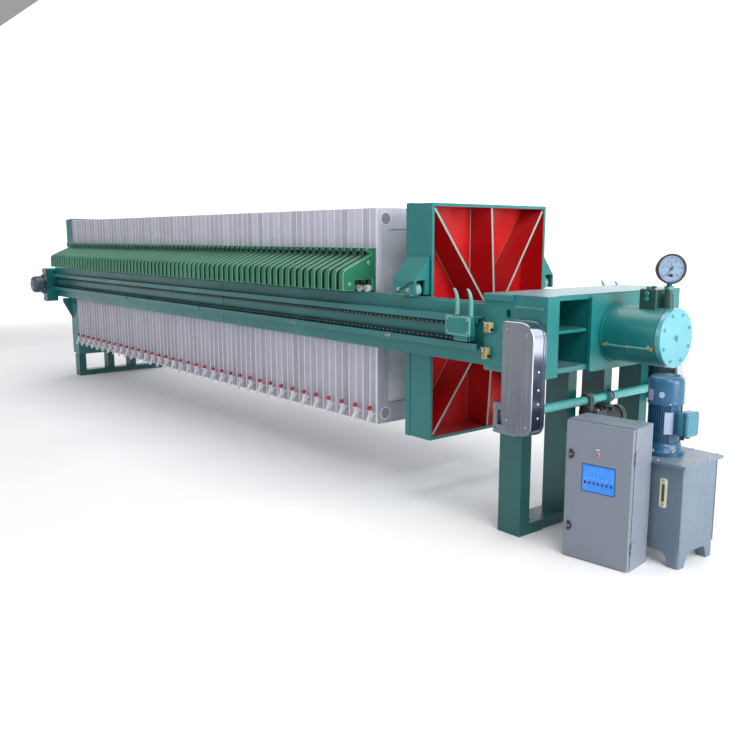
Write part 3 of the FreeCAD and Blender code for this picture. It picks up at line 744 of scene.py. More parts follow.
RED = lin(222, 14, 22)
M["head"] = paint("head_enamel", GREEN, second=RED, mask=in_head, streak=0.25, chips=0.2)
M["rib"] = paint("rib_enamel", lin(206, 16, 22), second=lin(150, 186, 176), mask=rib_face, streak=0.2)


def membrane(name):
    """printed key film: plain blue field, no lettering"""
    m = Mat(name)
    n = m.noise(12.0, 3.0, 0.5)
    c = m.mix(m.ramp(n, 0.3, 0.7), lin(28, 128, 232), lin(44, 148, 250))
    f = m.noise(300.0, 2.0, 0.5)
    return m.done(c, 0.32, m.bump(f, 0.05, 0.0003), 0.0, 0.5, 0.3, 0.1)


M["film"] = membrane("key_film")
M["film_d"] = plastic("key_film_rim", lin(20, 66, 130), 0.35)
M["film_l"] = plastic("key_film_window", lin(92, 178, 250), 0.28)


def dial(name):
    m = Mat(name)
    n = m.noise(40.0, 3.0, 0.5)
    c = m.mix(m.ramp(n, 0.3, 0.7), lin(176, 196, 236), lin(188, 206, 242))
    return m.done(c, 0.5, m.bump(n, 0.02, 0.0002), 0.0, 0.4)


M["dial"] = dial("gauge_dial")


def glass(name, tint=(0.9, 0.95, 0.93), rough=0.02):
    m = Mat(name)
    m.p.inputs["Transmission Weight"].default_value = 1.0
    m.p.inputs["IOR"].default_value = 1.45
    n = m.noise(18.0, 3.0, 0.5)
    c = m.mix(m.ramp(n, 0.3, 0.7), mul(tint, 0.96), tint)
    return m.done(c, m.ramp(n, 0.3, 0.8, rough, rough + 0.05))


M["glass"] = glass("gauge_glass")


def finish_node(name, mat, edge=None, width=0.0025, seg=2, smooth=32.0):
    ob = NODES[name]
    me = ob.data
    me.materials.clear()
    me.materials.append(M[mat])
    if edge:
        me.materials.append(M[edge])
    for p in me.polygons:
        p.material_index = 0
    me.shade_smooth()
    me.set_sharp_from_angle(angle=math.radians(smooth))
    if edge:
        bv = ob.modifiers.new("edge", "BEVEL")
        bv.width = width
        bv.segments = seg
        bv.limit_method = "ANGLE"
        bv.angle_limit = math.radians(40)
        bv.material = 1
        bv.use_clamp_overlap = True
        bv.harden_normals = False
    return ob


for n_, a_, e_, w_ in (
        ("fixed_head", "green", "green_e", 0.004), ("fixed_head_ribs", "green", "green_e", 0.003),
        ("feed_flange", "steel", None, 0), ("beam_gussets", "green", "green_e", 0.003),
        ("right_legs", "leg", "green_e", 0.004), ("left_legs", "leg", "green_e", 0.004),
        ("base_bars", "leg", "green_e", 0.003), ("main_beams", "green", "green_e", 0.004),
        ("chain_tracks", "track", "green_e", 0.0012),
        ("head_front_plate", "head", "green_e", 0.004), ("head_side_walls", "head", "green_e", 0.003),
        ("head_top_bottom_walls", "head", "green_e", 0.003), ("head_ribs", "rib", None, 0),
        ("head_side_arms", "green", "green_e", 0.003), ("head_rollers", "dark", None, 0),
        ("piston_rod", "rod", None, 0), ("seat_front_plate", "green", "green_e", 0.003),
        ("seat_top_bottom_plates", "top", "green_e", 0.003), ("seat_cheeks", "green", "green_e", 0.004),
        ("seat_inner_plates", "green", "green_e", 0.003), ("cylinder_body", "green", "green_e", 0.003),
        ("cylinder_end_cap", "cap", "green_e", 0.002), ("case_brackets", "cab", "cab_e", 0.001),
        # valve block in deep green: painted shade standing for the frame green
        ("valve_block", "deep", "green_e", 0.002), ("drive_shaft", "shaft", None, 0),
        ("cabinet_back", "cab", "cab_e", 0.002), ("cabinet_sides", "cab", "cab_e", 0.002),
        ("cabinet_top_and_base", "cab", "cab_e", 0.003), ("oil_tank", "tank", "tank_e", 0.003),
        ("tank_lid", "tank", "tank_e", 0.002), ("pump_motor", "blue", None, 0),
        ("pressure_gauge", "blackp", None, 0), ("chain_cases", "inox", None, 0),
        ("gear_motor", "dark", "dark_e", 0.003), ("puller_near", "green", "green_e", 0.002),
        ("puller_far", "green", "green_e", 0.002), ("limit_switches", "beige", None, 0),
        ("cabinet_door", "cab", "cab_e", 0.002), ("tail_sprocket_cases", "tail", "green_e", 0.003),
        ("plate_handles_near", "handle", "handle_e", 0.002), ("plate_handles_far", "handle", "handle_e", 0.002),
        ("drain_taps", "tap", None, 0), ("tap_knobs", "knob", None, 0),
        ("filter_plates", "plate", None, 0), ("end_filter_plate", "plate", None, 0)):
    finish_node(n_, a_, e_, w_)


# =====================================================================================
#  filter plates
# =====================================================================================
PW, PH = 0.500, (PK[5] - PK[4]) / 2
PZ0, PZ1 = PK[4], PK[5]


def plate_rim(t):
    """side rims of one plate, from x = -t to 0, with a raised boss on each side"""
    m = Mesh()
    m.add(cbox(-t, 0.0, -PW, PW, PZ0, PZ1, 0.0045), 0, edge=1)
    # moulded strengthening ribs standing in the recess of the side face are too shallow to model as steps; a raised
    # boss carries each tap
    for s in (-1, 1):
        M0 = T(-t / 2, s * (PW - 0.002), 0.44) @ (TO_NY if s < 0 else TO_Y)
        m.add(drum(0.021, 0.0, 0.006, 0.0015, 20), 0, M0)
    return m


def plate_pack():
    m = Mesh()
    one = plate_rim(PT)
    m.template(one, [(SX1 - i * PITCH, 0, 0) for i in range(1, NPL)])
    m.make("plate_pack", [M["plate"], M["plate_e"]], replaces=["filter_plates"], slot="plate_plastic")
    # cloth edges showing in the joints between plates, a little short of the plate edges
    c = Mesh()
    for i in range(1, NPL):
        x = SX1 - i * PITCH
        y = PW - 0.004 + 0.002 * R.random()
        c.add(cbox(x + 0.0001, x + 0.0015, -y, y, PZ0 + 0.02, PZ1 - 0.006, 0.0002), 0)
    c.make("cloth_edges", [M["cloth"]], slot="plate_plastic")


plate_pack()


M["port"] = plastic("port_mouth", lin(132, 134, 146), 0.5)


def end_plate():
    """last plate: rim, corner ports, recessed filtering field with its cloth and feed eye"""
    m = Mesh()
    x1, x0 = SX1, SX1 - PT
    fy, fz0, fz1 = PW - 0.090, PZ0 + 0.130, PZ1 - 0.130
    n = 40
    # rim face between the outline and the field, cut round the ports by laying port rings over it
    out = rrect(-PW + 0.004, PW - 0.004, PZ0 + 0.004, PZ1 - 0.004, 0.006, 9)
    inn = rrect(-fy, fy, fz0, fz1, 0.03, 9)
    v, f = ringwall(out, inn, 0, 0.014)
    m.add(([(x1 - 0.014 + w, y, z) for y, z, w in v], f), 0)
    m.add(cbox(x0, x1 - 0.0138, -PW, PW, PZ0, PZ1, 0.004), 0, edge=1)
    # bevel of the outer rim
    big = rrect(-PW, PW, PZ0, PZ1, 0.006, 9)
    v, f = ringwall(big, out, 0, 0.010)
    m.add(([(x1 - 0.0139 + w, y, z) for y, z, w in v], f), 1)
    m.make("end_plate", [M["plate"], M["plate_e"]], replaces=["end_filter_plate"], slot="plate_plastic")
    # cloth in the field with a stitched seam near its rim
    c = Mesh()
    c.add(yz(rrect(-fy + 0.001, fy - 0.001, fz0 + 0.001, fz1 - 0.001, 0.03, 6), x1 - 0.0137, x1 - 0.009, 0.001), 0)
    q = 0.022
    seam = rrect(-fy + q, fy - q, fz0 + q, fz1 - q, 0.02, 6)
    v, f = ringwall(seam, inset(seam, 0.006), 0, 0.0016)
    c.add(([(x1 - 0.0092 + w, y, z) for y, z, w in v], f), 0)
    c.make("end_cloth", [M["cloth"]], slot="plate_plastic")
    # corner ports: turned rings round dark bores
    p = Mesh()
    for sy in (-1, 1):
        for zz in (PZ0 + 0.066, PZ1 - 0.066):
            MM = T(x1, sy * (PW - 0.066), zz) @ TO_X
            p.add(lathe([(0.036, -0.003), (0.036, 0.0016), (0.040, 0.0016), (0.0415, 0.0), (0.0415, -0.003), (0.036, -0.003)], 36), 0, MM)
            p.add(lathe([(0, -0.0005), (0.0362, -0.0005), (0.0362, 0.0006), (0, 0.0006)], 36), 1, MM)
    MM = T(x1 - 0.009, 0, AXZ) @ TO_X
    p.add(lathe([(0.062, -0.002), (0.062, 0.004), (0.082, 0.004), (0.086, 0.0), (0.086, -0.002), (0.062, -0.002)], 48), 0, MM)
    p.add(lathe([(0, -0.002), (0.0622, -0.002), (0.0622, 0.0002), (0, 0.0002)], 48), 1, MM)
    p.make("end_plate_ports", [M["plate_e"], M["port"]], slot="plate_plastic")


end_plate()


# =====================================================================================
#  plate handles, drain taps
# =====================================================================================
HT = 0.044
RAILZ = BM[5]


def handle():
    """cast hand grip that also hangs the plate on the rail: tab, slanted back, outer lobe and roller notch"""
    m = Mesh()
    h0, h1 = -HT / 2, HT / 2
    prof = [(-0.500, 1.482), (-0.576, 1.482), (-0.576, 1.462), (-0.541, 1.455), (-0.541, 1.442), (-0.556, 1.434), (-0.736, 1.354),
            (-0.749, 1.343), (-0.756, 1.324), (-0.756, 1.228), (-0.668, 1.228), (-0.664, 1.236), (-0.664, 1.292), (-0.530, 1.292),
            (-0.530, 1.222), (-0.500, 1.222)]
    o_ = len(m.m)
    m.add(yz(prof, h0, h1, 0.0028), 0, edge=1)
    # both flanks take the darker flank colour, painted shade for the gaps between handles
    m.m[o_] = 5
    m.m[-1] = 5
    # screw bosses on the flanks
    for s in (-1, 1):
        for y, z in ((-0.706, 1.266), (-0.560, 1.392)):
            MM = T(s * (HT / 2 - 0.0004), y, z) @ (TO_X if s > 0 else TO_NX)
            m.add(lathe([(0, 0), (0.0125, 0), (0.0125, 0.0022), (0.0110, 0.0030), (0, 0.0030)], 16), 1, MM)
            m.add(lathe([(0, 0.0026), (0.0062, 0.0026), (0.0062, 0.0050), (0.0050, 0.0060), (0, 0.0060)], 12), 3, MM)
    # two clamp screws through the column into the plate
    for z in (1.255, 1.455):
        MM = T(0, -0.5295 if z < 1.3 else -0.5755, z) @ TO_NY
        m.add(lathe([(0, 0), (0.0085, 0), (0.0085, 0.0040), (0.0070, 0.0052), (0, 0.0052)], 12), 2, MM)
    # nylon roller on its axle
    zr = RAILZ + 0.0004 + 0.022
    m.add(lathe([(0, 0.0), (0.0205, 0.0), (0.0220, 0.0015), (0.0220, 0.0245), (0.0205, 0.026), (0, 0.026)], 24), 4, T(0, -0.536, zr) @ TO_NY)
    m.add(lathe([(0, 0), (0.008, 0), (0.008, 0.038), (0, 0.038)], 12), 3, T(0, -0.530, zr) @ TO_NY)
    return m


def handles():
    xs = [SX1 - i * PITCH - PT / 2 for i in range(NPL)]
    one = handle()
    m = Mesh().template(one, [(x, 0, 0) for x in xs])
    # the outer flank of the handle at either end of the row is open to the light, so it keeps the handle colour instead
    # of the painted shade given to the flanks between handles
    n1 = len(one.m)
    for o_ in (0, n1 * (NPL - 1)):
        for k in range(o_, o_ + n1):
            if m.m[k] == 5:
                m.m[k] = 0
    mats = [M["handle"], M["handle_e"], M["black"], M["bolt"], M["tap"], M["handle_d"]]
    m.make("handles_near", mats, replaces=["plate_handles_near"], slot="handle_green")
    m.mirrored().make("handles_far", mats, replaces=["plate_handles_far"], slot="handle_green")


handles()


def tap():
    """drain cock: screwed stub, plug body leaning back, outlet bent outwards"""
    b, k = Mesh(), Mesh()
    MM = T(0, -0.500, 0.440) @ TO_NY
    b.add(lathe([(0, 0.0), (0.0155, 0.0), (0.0155, 0.006), (0.0105, 0.008), (0.0105, 0.030), (0, 0.030)], 18), 0, MM)
    d = Vector((0, 0.26, -1)).normalized()
    q = Vector((0, 0, 1)).rotation_difference(d).to_matrix().to_4x4()
    MM = T(0, -0.534, 0.468) @ q
    b.add(lathe([(0, 0), (0.0150, 0), (0.0157, 0.002), (0.0157, 0.012), (0.0140, 0.015), (0.0140, 0.044), (0.0120, 0.052), (0.006, 0.055), (0, 0.055)], 18), 0, MM)
    pts = bend([(0, -0.529, 0.448), (0, -0.538, 0.430), (0, -0.5605, 0.3775)], 0.010, 4)
    b.add(tube(pts, 0.0100, 14), 0)
    e = (pts[-1] - pts[-2]).normalized()
    q2 = Vector((0, 0, 1)).rotation_difference(e).to_matrix().to_4x4()
    b.add(lathe([(0, -0.007), (0.0109, -0.007), (0.0109, 0.0003), (0.0078, 0.0003), (0.0074, -0.004), (0, -0.004)], 16), 0, T(*pts[-1]) @ q2)
    MM = T(0, -0.534, 0.468) @ Vector((0, 0, 1)).rotation_difference(-d).to_matrix().to_4x4()
    n = 24
    prof = [(0, 0.0), (0.0085, 0.0), (0.0085, 0.004), (0.0150, 0.006), (0.0168, 0.009), (0.0168, 0.018), (0.0150, 0.0225), (0.006, 0.0235), (0, 0.0235)]
    v, f = lathe(prof, n)
    w = []
    for p in v:
        r = math.hypot(p[0], p[1])
        if r > 0.0140:
            a = math.atan2(p[1], p[0])
            s = 1 - 0.075 * (0.5 + 0.5 * math.cos(8 * a))
            w.append((p[0] * s, p[1] * s, p[2]))
        else:
            w.append(p)
    k.add((w, f), 0, MM)
    return b, k


def taps():
    b, k = tap()
    xs = [SX1 - i * PITCH - PT / 2 for i in range(NPL)]
    near, far = [(x, 0, 0) for x in xs[0::2]], [(x, 0, 0) for x in xs[1::2]]
    m = Mesh().template(b, near)
    m.template(b.mirrored(), far)
    m.make("taps", [M["tap"]], replaces=["drain_taps"], slot="tap_plastic", smooth=40)
    m = Mesh().template(k, near)
    m.template(k.mirrored(), far)
    m.make("knobs", [M["knob"]], replaces=["tap_knobs"], slot="knob_red", smooth=50)


taps()
# =====================================================================================
#  movable head: welds, split clamp round the rod, arm stiffeners
# =====================================================================================
def P(x, y, z):
    """a point in mm, x along the press from the open rim of the movable head"""
    return (px(x), y / 1000.0, z / 1000.0)


def mm(x0, x1, y0, y1, z0, z1, c=2.0):
    return cbox(px(x0), px(x1), y0 / 1000, y1 / 1000, z0 / 1000, z1 / 1000, c / 1000)


AZ = AXZ * 1000


def head_details():
    m = Mesh()
    # clamp ring in two halves with its bolts, on the hub's end face
    MM = T(*P(40, 0, AZ)) @ TO_X
    m.add(lathe([(0.081, 0.0), (0.138, 0.0), (0.138, 0.010), (0.134, 0.014), (0.086, 0.014), (0.081, 0.010), (0.081, 0.0)], 48), 0, MM)
    for k in range(10):
        a = 2 * math.pi * (k + 0.5) / 10
        bolt(m, T(*P(54, 112 * math.cos(a), AZ + 112 * math.sin(a))) @ TO_X, 0.012, 1)
    m.add(lathe([(0.0805, 0), (0.090, 0), (0.088, 0.010), (0.0805, 0.012)], 40), 2, T(*P(53, 0, AZ)) @ TO_X)
    m.make("rod_clamp", [M["rib"], M["bolt"], M["black"]], body="movable_head", slot="rib_paint")
    # weld beads where the ribs meet the front plate and where the box's corners close
    w = Mesh()
    hub = 0.150
    iy, iz = HW[3] - 0.018, (HF[5] - HF[4]) / 2 - 0.022
    xw = HF[1] + 0.001
    for ty, tz in ((0, iz), (0, -iz), (iy, 0), (-iy, 0), (iy, iz), (-iy, iz), (iy, -iz), (-iy, -iz)):
        a = math.atan2(tz, ty)
        r1 = math.hypot(ty, tz) - (0.016 if ty and tz else 0.004)
        for s in (-1, 1):
            o = Vector((0, -math.sin(a), math.cos(a))) * 0.0085 * s
            p0 = Vector((xw, hub * math.cos(a), AXZ + hub * math.sin(a))) + o
            p1 = Vector((xw, r1 * math.cos(a), AXZ + r1 * math.sin(a))) + o
            weld(w, p0, p1, 0.0038, 0, 5)
    pts = 44
    for k in range(pts):
        a0, a1 = 2 * math.pi * k / pts, 2 * math.pi * (k + 1) / pts
        weld(w, (xw, (hub + 0.002) * math.cos(a0), AXZ + (hub + 0.002) * math.sin(a0)), (xw, (hub + 0.002) * math.cos(a1), AXZ + (hub + 0.002) * math.sin(a1)), 0.0045, 0, 5)
    for sy in (-1, 1):
        for sz in (-1, 1):
            weld(w, (xw, sy * (iy - 0.002), AXZ + sz * (iz - 0.002)), (X0 - 0.008, sy * (iy - 0.002), AXZ + sz * (iz - 0.002)), 0.0042, 0, 5)
    w.make("head_welds", [M["rib"]], body="movable_head", slot="rib_paint")
    # outside seam between the front plate's flange and the side walls, arm stiffeners and rollers' end washers
    g = Mesh()
    for sy in (-1, 1):
        weld(g, (HF[1] + 0.001, sy * (HW[3] + 0.0005), HF[4] + 0.02), (HF[1] + 0.001, sy * (HW[3] + 0.0005), HF[5] - 0.02), 0.0035, 0, 5)
        for z in (1.4385,):
            weld(g, (px(-203), sy * 0.4985, z), (px(-17), sy * 0.4985, z), 0.0040, 0, 5)
        # slanting flat bar on the arm's upright face
        a, b = Vector(P(-170, 613 * sy, 1232)), Vector(P(-34, 613 * sy, 1296))
        d = (b - a).normalized()
        n = Vector((0, sy, 0))
        u = d.cross(n)
        q = [a + u * 0.006, b + u * 0.006, b - u * 0.006, a - u * 0.006]
        v = [tuple(k_) for k_ in q] + [tuple(k_ + n * 0.004) for k_ in q]
        g.add((v, [(3, 2, 1, 0), (4, 5, 6, 7), (0, 1, 5, 4), (1, 2, 6, 5), (2, 3, 7, 6), (3, 0, 4, 7)]), 1)
        for x in (-150, -70):
            MM = T(*P(x, 612 * sy, 1249.4)) @ (TO_Y if sy > 0 else TO_NY)
            bolt(g, MM, 0.013, 2)
    g.make("arm_details", [M["green"], M["deep"], M["bolt"]], body="movable_head", slot="frame_green")
    r = Mesh()
    zr = BM[5] + 0.0004 + 0.036
    for sy in (-1, 1):
        for x in (-150, -70):
            MM = T(px(x), sy * 0.565, zr) @ TO_Y
            r.add(lathe([(0, -0.027), (0.030, -0.027), (0.0355, -0.024), (0.0358, -0.020), (0.0358, 0.020), (0.0355, 0.024), (0.030, 0.027), (0, 0.027)], 36), 0, MM)
            r.add(lathe([(0, -0.0352), (0.010, -0.0352), (0.010, 0.0352), (0, 0.0352)], 16), 1, MM)
            r.add(lathe([(0, 0.035), (0.009, 0.035), (0.009, 0.064), (0, 0.064)] if sy < 0 else [(0, -0.064), (0.009, -0.064), (0.009, -0.035), (0, -0.035)], 16), 1, MM)
    r.make("arm_rollers", [M["rollm"], M["steel"]], body="movable_head", replaces=["head_rollers"], slot="bare_steel")


M["rollm"] = paint("roller_enamel", lin(150, 206, 196), rough=0.35, dust_and_sheen=0.1)
head_details()


# =====================================================================================
#  main beams: rails, clips, chain loops
# =====================================================================================
def beam_details():
    m = Mesh()
    rz = BM[5]
    for sy in (-1, 1):
        # polished running strip on the rail, held by countersunk screws
        y0, y1 = (-0.558, -0.524) if sy < 0 else (0.524, 0.558)
        m.add(cbox(px(-5724), px(488), y0, y1, rz - 0.0016, rz + 0.0004, 0.0003), 0)
        for k in range(40):
            x = px(-5700 + 155 * k)
            m.add(lathe([(0, 0.0), (0.006, 0.0), (0.006, 0.0007), (0, 0.0007)], 10), 1, T(x, sy * 0.541, rz + 0.0001))
    m.make("rail_strips", [M["steel"], M["black"]], slot="bare_steel")
    # small stays between beam and track, seams and clips along the lower track
    c = Mesh()
    zu, zl = 1.128, 0.967
    for sy in (-1, 1):
        for k in range(11):
            x = -5600 + 570 * k
            y0, y1 = sorted((sy * 0.566, sy * 0.600))
            c.add(cbox(px(x), px(x + 6), y0, y1, zu - 0.030, zu, 0.001), 0)
        for x in (-4100, -2660, -1240, -260):
            y0, y1 = sorted((sy * 0.6215, sy * 0.628))
            c.add(cbox(px(x), px(x + 54), y0, y1, 0.962, 0.996, 0.001), 1, edge=2)
            bolt(c, T(px(x + 14), sy * 0.628, 0.979) @ (TO_Y if sy > 0 else TO_NY), 0.008, 3)
            bolt(c, T(px(x + 40), sy * 0.628, 0.979) @ (TO_Y if sy > 0 else TO_NY), 0.008, 3)
        # joint of the two beam halves, with its weld
        weld(c, (px(-2300), sy * 0.5665, 0.884), (px(-2300), sy * 0.5665, 0.956), 0.003, 0, 5)
        weld(c, (px(-2300), sy * 0.5665, 1.138), (px(-2300), sy * 0.5665, 1.200), 0.003, 0, 5)
        weld(c, (px(-2300), sy * 0.5665, 0.998), (px(-2300), sy * 0.5665, 1.098), 0.003, 0, 5)
    c.make("track_details", [M["green"], M["track"], M["green_e"], M["bolt"]], slot="track_green")


def chain_link(p):
    """one pitch of roller chain along X: two pairs of side plates and a roller"""
    m = Mesh()
    n = 5
    for k, (w, off, x) in enumerate(((0.0062, 0.0022, 0.0), (0.0086, 0.0022, p))):
        for s in (-1, 1):
            o = []
            for i in range(n + 1):
                a = math.pi / 2 + math.pi * i / n
                o.append((x + 0.008 * math.cos(a), 0.008 * math.sin(a)))
            for i in range(n + 1):
                a = -math.pi / 2 + math.pi * i / n
                o.append((x + p + 0.008 * math.cos(a), 0.008 * math.sin(a)))
            y = s * w
            v = [(a_, y - 0.0010, b_) for a_, b_ in o] + [(a_, y + 0.0010, b_) for a_, b_ in o]
            c = len(o)
            f = [tuple(range(c)), tuple(range(2 * c - 1, c - 1, -1))] + [(i, c + i, c + (i + 1) % c, (i + 1) % c) for i in range(c)]
            m.add((v, f), 0)
        m.add(lathe([(0, -0.0105), (0.0032, -0.0105), (0.0032, 0.0105), (0, 0.0105)], 8), 1, T(x, 0, 0) @ TO_Y)
        m.add(lathe([(0.0032, -0.0052), (0.0062, -0.0052), (0.0062, 0.0052), (0.0032, 0.0052)], 8), 1, T(x, 0, 0) @ TO_Y)
    return m


def chains():
    p = 0.0381
    one = chain_link(p)
    x0, x1 = px(-6050), px(470)
    n = int((x1 - x0) / (2 * p))
    m = Mesh()
    offs = []
    for sy in (-1, 1):
        for z in (1.086, 1.008):
            offs += [(x0 + 2 * p * k, sy * 0.594, z) for k in range(n)]
    m.template(one, offs)
    m.make("puller_chains", [M["chainm"], M["steel"]], slot="bare_steel", smooth=30)


beam_details()
chains()


# =====================================================================================
#  pullers
# =====================================================================================
def puller():
    """carriage of one side: cover box, its slide on the chain and two catch hooks; returned for the near side"""
    m = Mesh()
    y0, y1 = -0.668, -0.628
    m.add(xz(rrect(px(290), px(475), 1.036, 1.138, 0.008, 4), y0, y1, 0.003), 0, edge=1)
    # recess line and cover screws
    o, i = rrect(px(298), px(467), 1.044, 1.130, 0.006, 4), rrect(px(300), px(465), 1.046, 1.128, 0.005, 4)
    v, f = ringwall(o, i, -0.0006, 0.0005)
    m.add(([(a, y0 - c, b) for a, b, c in v], f), 1)
    for x in (308, 457):
        for z in (1.054, 1.120):
            bolt(m, T(px(x), y0, z) @ TO_NY, 0.007, 2)
    # black strips on the cover's top: painted shade standing for the slot where the hooks come through
    m.add(mm(345, 408, -666, -632, 1137.4, 1138.8, 0.3), 3)
    m.add(mm(345, 472, -656, -638, 1137.6, 1139.4, 0.3), 3)
    m.add(mm(335, 435, -628, -580, 1006, 1086, 2), 0, edge=1)
    m.add(mm(335, 435, -648, -628, 1006, 1060, 2), 0, edge=1)
    for x in (351, 451):
        mid = [(x + 11, 1.126, 11), (x + 12, 1.160, 11), (x + 12.5, 1.190, 10.5), (x + 11, 1.218, 9.5), (x + 6, 1.243, 8), (x - 2, 1.262, 6.5), (x - 11, 1.275, 4.5), (x - 17, 1.280, 2.6)]
        L, Rr = [], []
        for k, (cx, cz, h) in enumerate(mid):
            a = mid[max(0, k - 1)]
            b = mid[min(len(mid) - 1, k + 1)]
            d = Vector((b[0] - a[0], (b[1] - a[1]) * 1000)).normalized()
            nrm = Vector((-d.y, d.x))
            L.append((px(cx + nrm.x * h), cz + nrm.y * h / 1000))
            Rr.append((px(cx - nrm.x * h), cz - nrm.y * h / 1000))
        m.add(xz(L + Rr[::-1], -0.6535, -0.6405, 0.0018), 4, edge=1)
        m.add(drum(0.007, 0, 0.017, 0.001, 16), 2, T(px(x + 12), -0.6385, 1.150) @ TO_NY)
    return m


def pullers():
    a = puller()
    mats = [M["green"], M["green_e"], M["bolt"], M["black"], M["hook"]]
    a.make("puller_near_body", mats, body="near_puller", replaces=["puller_near"], slot="puller_green")
    a.mirrored().make("puller_far_body", mats, body="far_puller", replaces=["puller_far"], slot="puller_green")


M["hook"] = paint("hook_enamel", lin(112, 190, 178), rough=0.36, chips=0.5)
pullers()


def limit_switch(x0, x1, z0, z1, y0, up):
    m = Mesh()
    m.add(cbox(px(x0), px(x1), y0, -0.588, z0, z1, 0.003), 0)
    # front cover, its two screws, lever with roller, cable gland
    m.add(cbox(px(x0 + 3), px(x1 - 3), y0 - 0.002, y0 + 0.001, z0 + 0.003, z1 - 0.003, 0.001), 1)
    for z in (z0 + 0.009, z1 - 0.009):
        m.add(lathe([(0, 0), (0.0032, 0), (0.0032, 0.0014), (0, 0.0018)], 10), 2, T(px(x0 + 8), y0 - 0.002, z) @ TO_NY)
    zc = z1 - 0.012
    m.add(drum(0.0085, 0, 0.010, 0.001, 18), 2, T(px((x0 + x1) / 2), y0 - 0.001, zc) @ TO_NY)
    a, b = Vector((px((x0 + x1) / 2), y0 - 0.009, zc)), Vector((px((x0 + x1) / 2 - 16), y0 - 0.009, zc + up))
    m.add(tube([a, b], 0.0030, 8), 2)
    m.add(drum(0.0075, -0.003, 0.005, 0.001, 18), 3, T(*b) @ TO_NY)
    m.add(lathe([(0, 0), (0.009, 0), (0.009, 0.004), (0.0075, 0.006), (0.0075, 0.012), (0, 0.012)], 6), 3, T(px(x1 - 0.5), (y0 - 0.588) / 2, z0 + 0.014) @ TO_X)
    # plate it stands on
    m.add(cbox(px(x0 - 5), px(x1 + 8), -0.589, -0.584, z0 - 0.006, z1 + 0.006, 0.001), 4)
    return m


def switches():
    m = limit_switch(526, 568, 1.062, 1.112, -0.620, 0.026)
    m.merge(limit_switch(514, 546, 0.922, 0.980, -0.618, 0.022))
    m.make("switches", [M["beige"], M["beige_d"], M["steel"], M["black"], M["green"]], replaces=["limit_switches"], slot="switch_beige")


M["beige_d"] = plastic("switch_cover", lin(170, 140, 70), 0.4)
switches()


